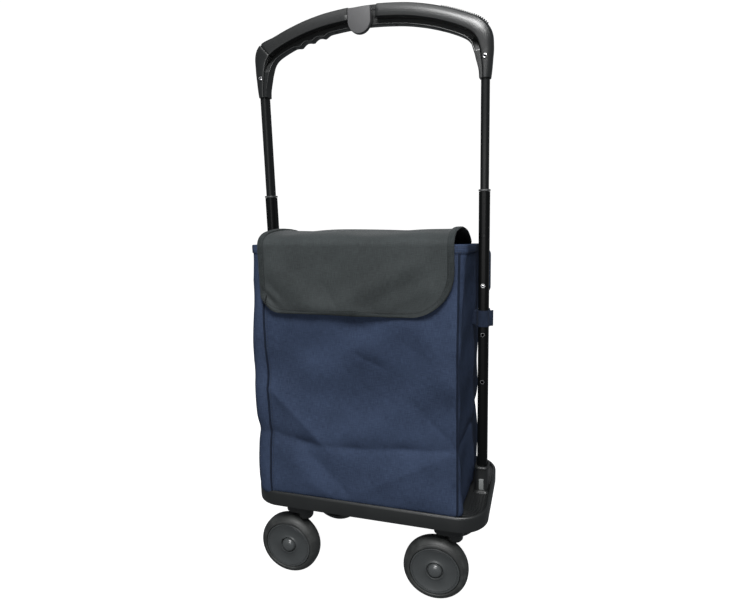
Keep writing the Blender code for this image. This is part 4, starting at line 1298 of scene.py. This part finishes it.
# Radius of the flap's lower corners, left and right, and its folds, as in FOLDS with z up from the low edge
FLAP_CORNERS = {-1: 0.034, 1: 0.064}
FLAP_FOLDS = (
    (-0.018, 0.016, 0.082, 0.068, 0.0036, 0.015, 0),
    (-0.060, 0.010, -0.118, 0.060, 0.0024, 0.016, 0),
    (-0.042, 0.040, -0.020, 0.008, -0.0014, 0.008, 1),
    (-0.075, 0.012, 0.010, 0.004, 0.0016, 0.010, 0),
    (0.050, 0.012, 0.105, 0.040, 0.0018, 0.012, 0),
)


class FlapSurface:
    """The flap as a function of two shares: across it and along it."""

    def __init__(self):
        self.line = flap_line()
        gaps = np.linalg.norm(np.diff(self.line, axis=0), axis=1)
        self.run = np.concatenate([[0], np.cumsum(gaps)])
        self.length = float(self.run[-1])
        self.half = box("bag_flap")[1][0]
        self.shift = -0.0040

    def edge_at(self, s, side):
        """Half width of one side at a distance along the sheet."""
        corner = FLAP_CORNERS[side]
        over = s - (self.length - corner)
        if over <= 0:
            return self.half
        return self.half - (corner - math.sqrt(max(0.0, corner ** 2 - over ** 2)))

    def point(self, across, s):
        """across from -1 to 1, s in metres along the sheet."""
        y = float(np.interp(s, self.run, self.line[:, 0]))
        z = float(np.interp(s, self.run, self.line[:, 1]))
        x = across * self.edge_at(s, -1 if across < 0 else 1)
        dy = float(np.interp(s + 0.001, self.run, self.line[:, 0])) - float(np.interp(s - 0.001, self.run,
                                                                                      self.line[:, 0]))
        dz = float(np.interp(s + 0.001, self.run, self.line[:, 1])) - float(np.interp(s - 0.001, self.run,
                                                                                      self.line[:, 1]))
        size = math.hypot(dy, dz) or 1.0
        ny, nz = dz / size, -dy / size
        share = s / self.length
        edge = 1 - abs(across) ** 6
        lift = 0.0014 * min(1.0, share * 3)
        lift += 0.0010 * math.sin(x * 47 + 0.5) * math.sin(share * 9 + 0.4) * edge
        lift += 0.0011 * math.sin((x + s * 0.6) * 38) * edge * min(1.0, share * 3)
        near_low = math.exp(-((self.length - s) / 0.030) ** 2)
        lift += 0.0014 * near_low * (0.5 + 0.5 * math.sin(x * 56 + 0.7))
        left = math.exp(-(((x + self.half - 0.010) / 0.018) ** 2 + ((self.length - s - 0.014) / 0.022) ** 2))
        lift += left * (0.0012 + 0.0022 * math.sin((x - s) * 260))
        lift += fold_height(x, self.length - s, FLAP_FOLDS) if s > self.length * 0.5 else 0.0
        lift += 0.0030 * bell(abs(x), self.half, 0.010) * bell(share, 0.42, 0.20)
        return np.array((x + self.shift, y + ny * lift, z + nz * lift)), np.array((0.0, ny, nz))


def build_flap():
    """Flap: one curved sheet with a bound edge, its stitching, and the seam at the back of the mouth."""
    surface = FlapSurface()
    wide_corner = FLAP_CORNERS[1]
    straight = np.linspace(0, surface.length - wide_corner, 90)
    curved = surface.length - wide_corner + wide_corner * np.sin(np.linspace(0, math.pi / 2, 46)[1:])
    levels = np.concatenate([straight, np.minimum(curved, surface.length * 0.9999)])
    columns, rows = 96, len(levels)
    grid = [[surface.point(a, s)[0] for a in np.linspace(-1, 1, columns)] for s in levels]
    verts = [p for row in grid for p in row]
    faces, uvs = [], []
    for i in range(rows - 1):
        for j in range(columns - 1):
            quad = [(i, j), (i, j + 1), (i + 1, j + 1), (i + 1, j)]
            faces.append([a * columns + b for a, b in quad])
            uvs += [(b / columns * surface.half * 2, levels[a]) for a, b in quad]
    sheet = piece("flap_sheet", verts, faces, "flap", 70, uvs, fix=False)
    wall = sheet.modifiers.new("wall", "SOLIDIFY")
    wall.thickness = FLAP_THICK
    wall.offset = 0
    bake(sheet)
    shade(sheet, 70)
    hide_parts("bag_flap")
    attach(sheet, "flap")
    _, hy, _, mouth = bag_sizes()
    root = [(np.array((x, hy - 0.0010, mouth - 0.0132)), np.array((0.0, 0.6, 0.8))) for x in
            np.linspace(surface.shift - surface.half + 0.001, surface.shift + surface.half - 0.001, 24)]
    ribbon("flap_root_tape", root, ROOT_WIDTH, ROOT_RISE, "binding", "base", "flap_fabric")
    binding = edge_tape("flap_binding", flap_border(surface, 0.0), sizes().binding_width, BINDING_THICK)
    settle(binding, "flap", (), "flap_fabric")
    inner = flap_border(surface, sizes().binding_width - 0.0018)
    outer = [(p + n * BINDING_THICK, n) for p, n, _ in inner]
    stitch_row("flap_stitch", [outer], "flap_thread", "flap", seed=9)
    under = [(p - n * 0.0017, -n) for p, n, _ in inner]
    stitch_row("flap_stitch_under", [under], "flap_thread", "flap", seed=10)


def flap_border(surface, inset):
    """Line round the flap's free edge, a distance in from it: point, normal, direction into the sheet."""
    length, half = surface.length, surface.half
    left, right = FLAP_CORNERS[-1], FLAP_CORNERS[1]
    path = [(-half + inset, s, (1, 0)) for s in np.linspace(0.004, length - left, 60)]
    for a in np.linspace(0, math.pi / 2, 18)[1:-1]:
        path.append((-half + left - (left - inset) * math.cos(a),
                     length - left + (left - inset) * math.sin(a), (math.cos(a), -math.sin(a))))
    path += [(x, length - inset, (0, -1)) for x in np.linspace(-half + left, half - right, 60)]
    for a in np.linspace(math.pi / 2, 0, 30)[1:-1]:
        path.append((half - right + (right - inset) * math.cos(a),
                     length - right + (right - inset) * math.sin(a), (-math.cos(a), -math.sin(a))))
    path += [(half - inset, s, (-1, 0)) for s in np.linspace(length - right, 0.004, 60)]
    out = []
    for x, s, inward in path:
        s = min(s, length * 0.9994)
        wide = surface.edge_at(s, -1 if x < 0 else 1)
        p, n = surface.point(np.clip(x / max(wide, 1e-6), -1, 1), s)
        ahead, _ = surface.point(np.clip((x + inward[0] * 0.002) / max(wide, 1e-6), -1, 1),
                                 min(s + inward[1] * 0.002, length * 0.9994))
        d = ahead - p
        d = d / max(1e-9, np.linalg.norm(d)) if np.linalg.norm(d) > 1e-6 else np.array((inward[0], 0, 0))
        out.append((p, n, d))
    return out


def edge_tape(name, border, width, thick):
    """Folded tape that wraps a cloth edge, with a slightly uneven pull."""
    rings, length = [], [0.0]
    for i, (p, n, d) in enumerate(border):
        pull = 1 + 0.06 * math.sin(i * 1.7) + 0.04 * math.sin(i * 3.1 + 1)
        t = thick * pull
        rings.append([tuple(p + d * u + n * v) for u, v in (
            (width, 0.0005), (width, t * 0.82), (width * 0.92, t), (width * 0.4, t * 1.04), (0.0006, t),
            (-0.0006, t * 0.55), (-0.0009, 0),
            (-0.0006, -t * 0.55), (0.0006, -t), (width * 0.4, -t * 1.04), (width * 0.92, -t),
            (width, -t * 0.82), (width, -0.0005))])
        if i:
            length.append(length[-1] + float(np.linalg.norm(p - border[i - 1][0])))
    u = np.linspace(0, width * 2.2, 14)
    verts, faces, uvs = skin(rings, True, True, metres=(u, length))
    return piece(name, verts, faces, "binding", 60, uvs)


def build_pocket():
    """Slightly padded pocket across the back of the bag, with a bound top edge."""
    low, high = box("rear_pocket")
    hx, hz, mid = high[0], (high[2] - low[2]) / 2, (high[2] + low[2]) / 2
    rings = []
    depth = high[1] - low[1]
    for share, inset in ((0, 0.0015), (0.12, 0.0004), (0.4, 0), (0.72, 0.0010), (0.9, 0.0045),
                         (1.0, 0.0110)):
        ring = []
        for x, z in rounded_outline(hx - inset, hz - inset, 0.012, 8, 30):
            pull = 0.0011 * math.sin(x * 60 + z * 31) * share
            ring.append((x, low[1] + depth * share * 0.93 + pull,
                         mid + z + 0.0006 * math.sin(x * 90) * share))
        rings.append(ring)
    last = np.array(rings[-1])
    centre = last.mean(axis=0)
    for k in (0.75, 0.4, 0.05):
        ring = centre + (last - centre) * (k, 1, k)
        ring[:, 1] = last[:, 1].mean() + 0.0004
        rings.append([tuple(p) for p in ring])
    verts, faces, uvs = skin(rings, True, True, metres=(metres_round(rings[2]),
                                                        np.linspace(0, 0.06, len(rings))))
    pocket = piece("pocket_pad", verts, faces, "bag", 60, uvs, body="base", stands_for="rear_pocket",
                   slot="bag_fabric")
    seam = [((x, high[1] - depth * 0.28, mid + z), np.array((0.0, 1.0, 0.0))) for x,
            z in rounded_outline(hx - 0.0065, hz - 0.0065, 0.009, 6, 8)]
    stitch_row("pocket_stitch", [seam + seam[:1]], "bag_thread", "base", seed=12)


def build_straps():
    """Hook-and-loop straps that tie the bag to the outer tubes."""
    for side, sx in SIDES:
        low, high = box("strap_" + side)
        cx = centre_of("outer_tube_" + side)[0]
        tx, ty, _ = half_of("outer_tube_" + side)
        z0, z1 = low[2] + 0.0003, high[2] - 0.0003
        outline = rounded_outline(tx + 0.0005, ty + 0.0005, tx * 0.8, 10)
        outer = rounded_outline(tx + 0.0017, ty + 0.0017, tx * 0.8 + 0.0012, 10)
        rings = [[(cx + x, y, z) for x, y in ring] for ring, z in
                 ((outline, z0), (outer, z0), (outer, z0 + 0.0008), (outer, (z0 + z1) / 2),
                  (outer, z1 - 0.0008), (outer, z1), (outline, z1))]
        v = [0, 0.001, 0.002, 0.013, 0.024, 0.025, 0.026, 0.051]
        verts, faces, uvs = skin(rings, True, False, True, metres=(metres_round(outer), v))
        piece("strap_band_" + side, verts, faces, "strap", 50, uvs, body="base",
              stands_for="strap_" + side, slot="bag_fabric")
        hx = bag_sizes()[0]
        end_x = sx * (box("base_tray")[1][0] - 0.0014)
        start_x = sx * (abs(cx) + tx + 0.0006)
        root_x = sx * (hx - 0.0060)
        ahead, level, wide = np.array((0.0, -1.0, 0.0)), (z0 + z1) / 2, z1 - z0 - 0.0006
        tail, root = [], []
        for t in np.linspace(0, 1, 12):
            tail.append((np.array((start_x + (end_x - start_x) * t, -ty * 0.55 + 0.0040 * t, level)),
                         ahead))
            root.append((np.array((root_x + (sx * (abs(cx) - tx) - root_x) * t, -0.0004 - ty * 0.2 * t,
                                   level)), ahead))
        ribbon("strap_tail_" + side, tail, wide, STRAP_RISE, "strap", "base", "bag_fabric")
        ribbon("strap_root_" + side, root, wide, STRAP_ROOT_RISE, "strap", "base", "bag_fabric")


# ---------------------------------------------------------------- stage


def build_stage():
    """Pale floor, white surround, soft lights and the camera."""
    floor = bpy.data.meshes.new("studio_floor")
    floor.from_pydata([(-12, -12, -0.0002), (12, -12, -0.0002), (12, 12, -0.0002), (-12, 12, -0.0002)],
                      [], [(0, 1, 2, 3)])
    ground = bpy.data.objects.new("studio_floor", floor)
    bpy.context.scene.collection.objects.link(ground)
    f = Finish("studio_floor_paint")
    f.set(Base_Color=(0.3, 0.3, 0.3), Roughness=0.9, Specular_IOR_Level=0.1, Emission_Color=(1, 1, 1),
          Emission_Strength=1.0)
    floor.materials.append(f.mat)
    ground.visible_diffuse = ground.visible_glossy = False
    scene = bpy.context.scene
    world = bpy.data.worlds.new("studio_world")
    scene.world = world
    world.use_nodes = True
    tree = world.node_tree
    back = tree.nodes["Background"]
    back.inputs["Color"].default_value = (0.9, 0.95, 1.0, 1)
    back.inputs["Strength"].default_value = 0.15
    white = tree.nodes.new("ShaderNodeBackground")
    white.inputs["Color"].default_value = (1, 1, 1, 1)
    white.inputs["Strength"].default_value = 1.05
    path = tree.nodes.new("ShaderNodeLightPath")
    mix = tree.nodes.new("ShaderNodeMixShader")
    tree.links.new(path.outputs["Is Camera Ray"], mix.inputs[0])
    tree.links.new(back.outputs[0], mix.inputs[1])
    tree.links.new(white.outputs[0], mix.inputs[2])
    tree.links.new(mix.outputs[0], tree.nodes["World Output"].inputs["Surface"])
    for name, spot, aim, wide, tall, power in (
        ("key_light", (0.45, -1.25, 1.95), (0, 0, 0.4), 0.9, 0.7, 54),
        ("top_light", (-0.3, -0.5, 2.3), (0, 0, 0.4), 1.2, 1.0, 7),
        ("low_light", (0.1, -2.1, 0.5), (0, 0, 0.15), 0.6, 0.4, 11),
        ("back_light", (-0.8, 1.9, 1.5), (0, 0, 0.5), 1.2, 0.8, 8),
    ):
        data = bpy.data.lights.new(name, "AREA")
        data.shape = "RECTANGLE"
        data.size, data.size_y, data.energy = wide, tall, power
        lamp = bpy.data.objects.new(name, data)
        lamp.location = spot
        lamp.rotation_euler = (Vector(aim) - Vector(spot)).to_track_quat("-Z", "Y").to_euler()
        scene.collection.objects.link(lamp)
    yaw, pitch, roll = 0.3065, 0.1848, -0.0287
    ahead = Vector((-math.sin(yaw) * math.cos(pitch), math.cos(yaw) * math.cos(pitch), -math.sin(pitch)))
    level = Vector((math.cos(yaw), math.sin(yaw), 0))
    up = level.cross(ahead)
    right = level * math.cos(roll) + up * math.sin(roll)
    up = up * math.cos(roll) - level * math.sin(roll)
    data = bpy.data.cameras.new("camera")
    data.sensor_width = 36
    data.lens = 547.2 / 750 * 36
    data.clip_start = 0.05
    camera = bpy.data.objects.new("camera", data)
    turn = Matrix((right, up, -ahead)).transposed().to_4x4()
    camera.matrix_world = Matrix.Translation((0.2552, -0.8043, 0.5965)) @ turn
    scene.collection.objects.link(camera)
    scene.camera = camera
    scene.view_settings.view_transform = "Standard"
    scene.view_settings.look = "None"


# ---------------------------------------------------------------- operators


def operator(label, doc, *steps):
    """One operator that runs the given build steps."""
    key = label.lower().replace(" ", "_")

    def execute(self, context):
        for step in steps:
            step()
        return {"FINISHED"}

    return type("TROLLEY_OT_" + key, (bpy.types.Operator,),
                {"bl_idname": "trolley." + key, "bl_label": label, "__doc__": doc,
                                                             "bl_options": {"REGISTER", "UNDO"},
                                                             "execute": execute})


OPERATORS = (
    operator("Tray base", "Tray with its rim, ribs and bosses", build_base),
    operator("Uprights", "Sockets, latches, tubes, bushes and lock pins", build_uprights),
    operator("Wheels", "Tyres, hubs and caps", build_wheels),
    operator("Forks", "Swivel forks, kingpins and axles", build_forks),
    operator("Handle", "Handle mouldings and their screws", build_handle, build_handle_ribs),
    operator("Release tab", "Tab that frees the telescopic tubes", build_tab),
    operator("Bag", "Soft bag with seams and hem", build_bag),
    operator("Flap", "Bound flap over the mouth of the bag", build_flap),
    operator("Rear pocket", "Pocket on the back of the bag", build_pocket),
    operator("Straps", "Hook-and-loop straps round the tubes", build_straps),
    operator("Stage", "Floor, lights and camera", build_stage),
)


class TROLLEY_PT_panel(bpy.types.Panel):
    """Sizes, colours and the pieces of the trolley."""

    bl_idname = "TROLLEY_PT_panel"
    bl_label = "Shopping Trolley"
    bl_space_type = "VIEW_3D"
    bl_region_type = "UI"
    bl_category = "Trolley"

    def draw(self, context):
        for group in (context.scene.trolley_sizes, context.scene.trolley_colours):
            box = self.layout.box()
            for key in group.bl_rna.properties.keys():
                if key not in ("rna_type", "name"):
                    box.prop(group, key)
        for kind in OPERATORS:
            self.layout.operator(kind.bl_idname)


CLASSES = (TrolleySizes, TrolleyColours, *OPERATORS, TROLLEY_PT_panel)


def register():
    for kind in CLASSES:
        bpy.utils.register_class(kind)
    bpy.types.Scene.trolley_sizes = bpy.props.PointerProperty(type=TrolleySizes)
    bpy.types.Scene.trolley_colours = bpy.props.PointerProperty(type=TrolleyColours)


def unregister():
    del bpy.types.Scene.trolley_colours
    del bpy.types.Scene.trolley_sizes
    for kind in reversed(CLASSES):
        bpy.utils.unregister_class(kind)


def main():
    register()
    for kind in OPERATORS:
        group, name = kind.bl_idname.split(".")
        getattr(getattr(bpy.ops, group), name)()


if __name__ == "__main__":
    main()
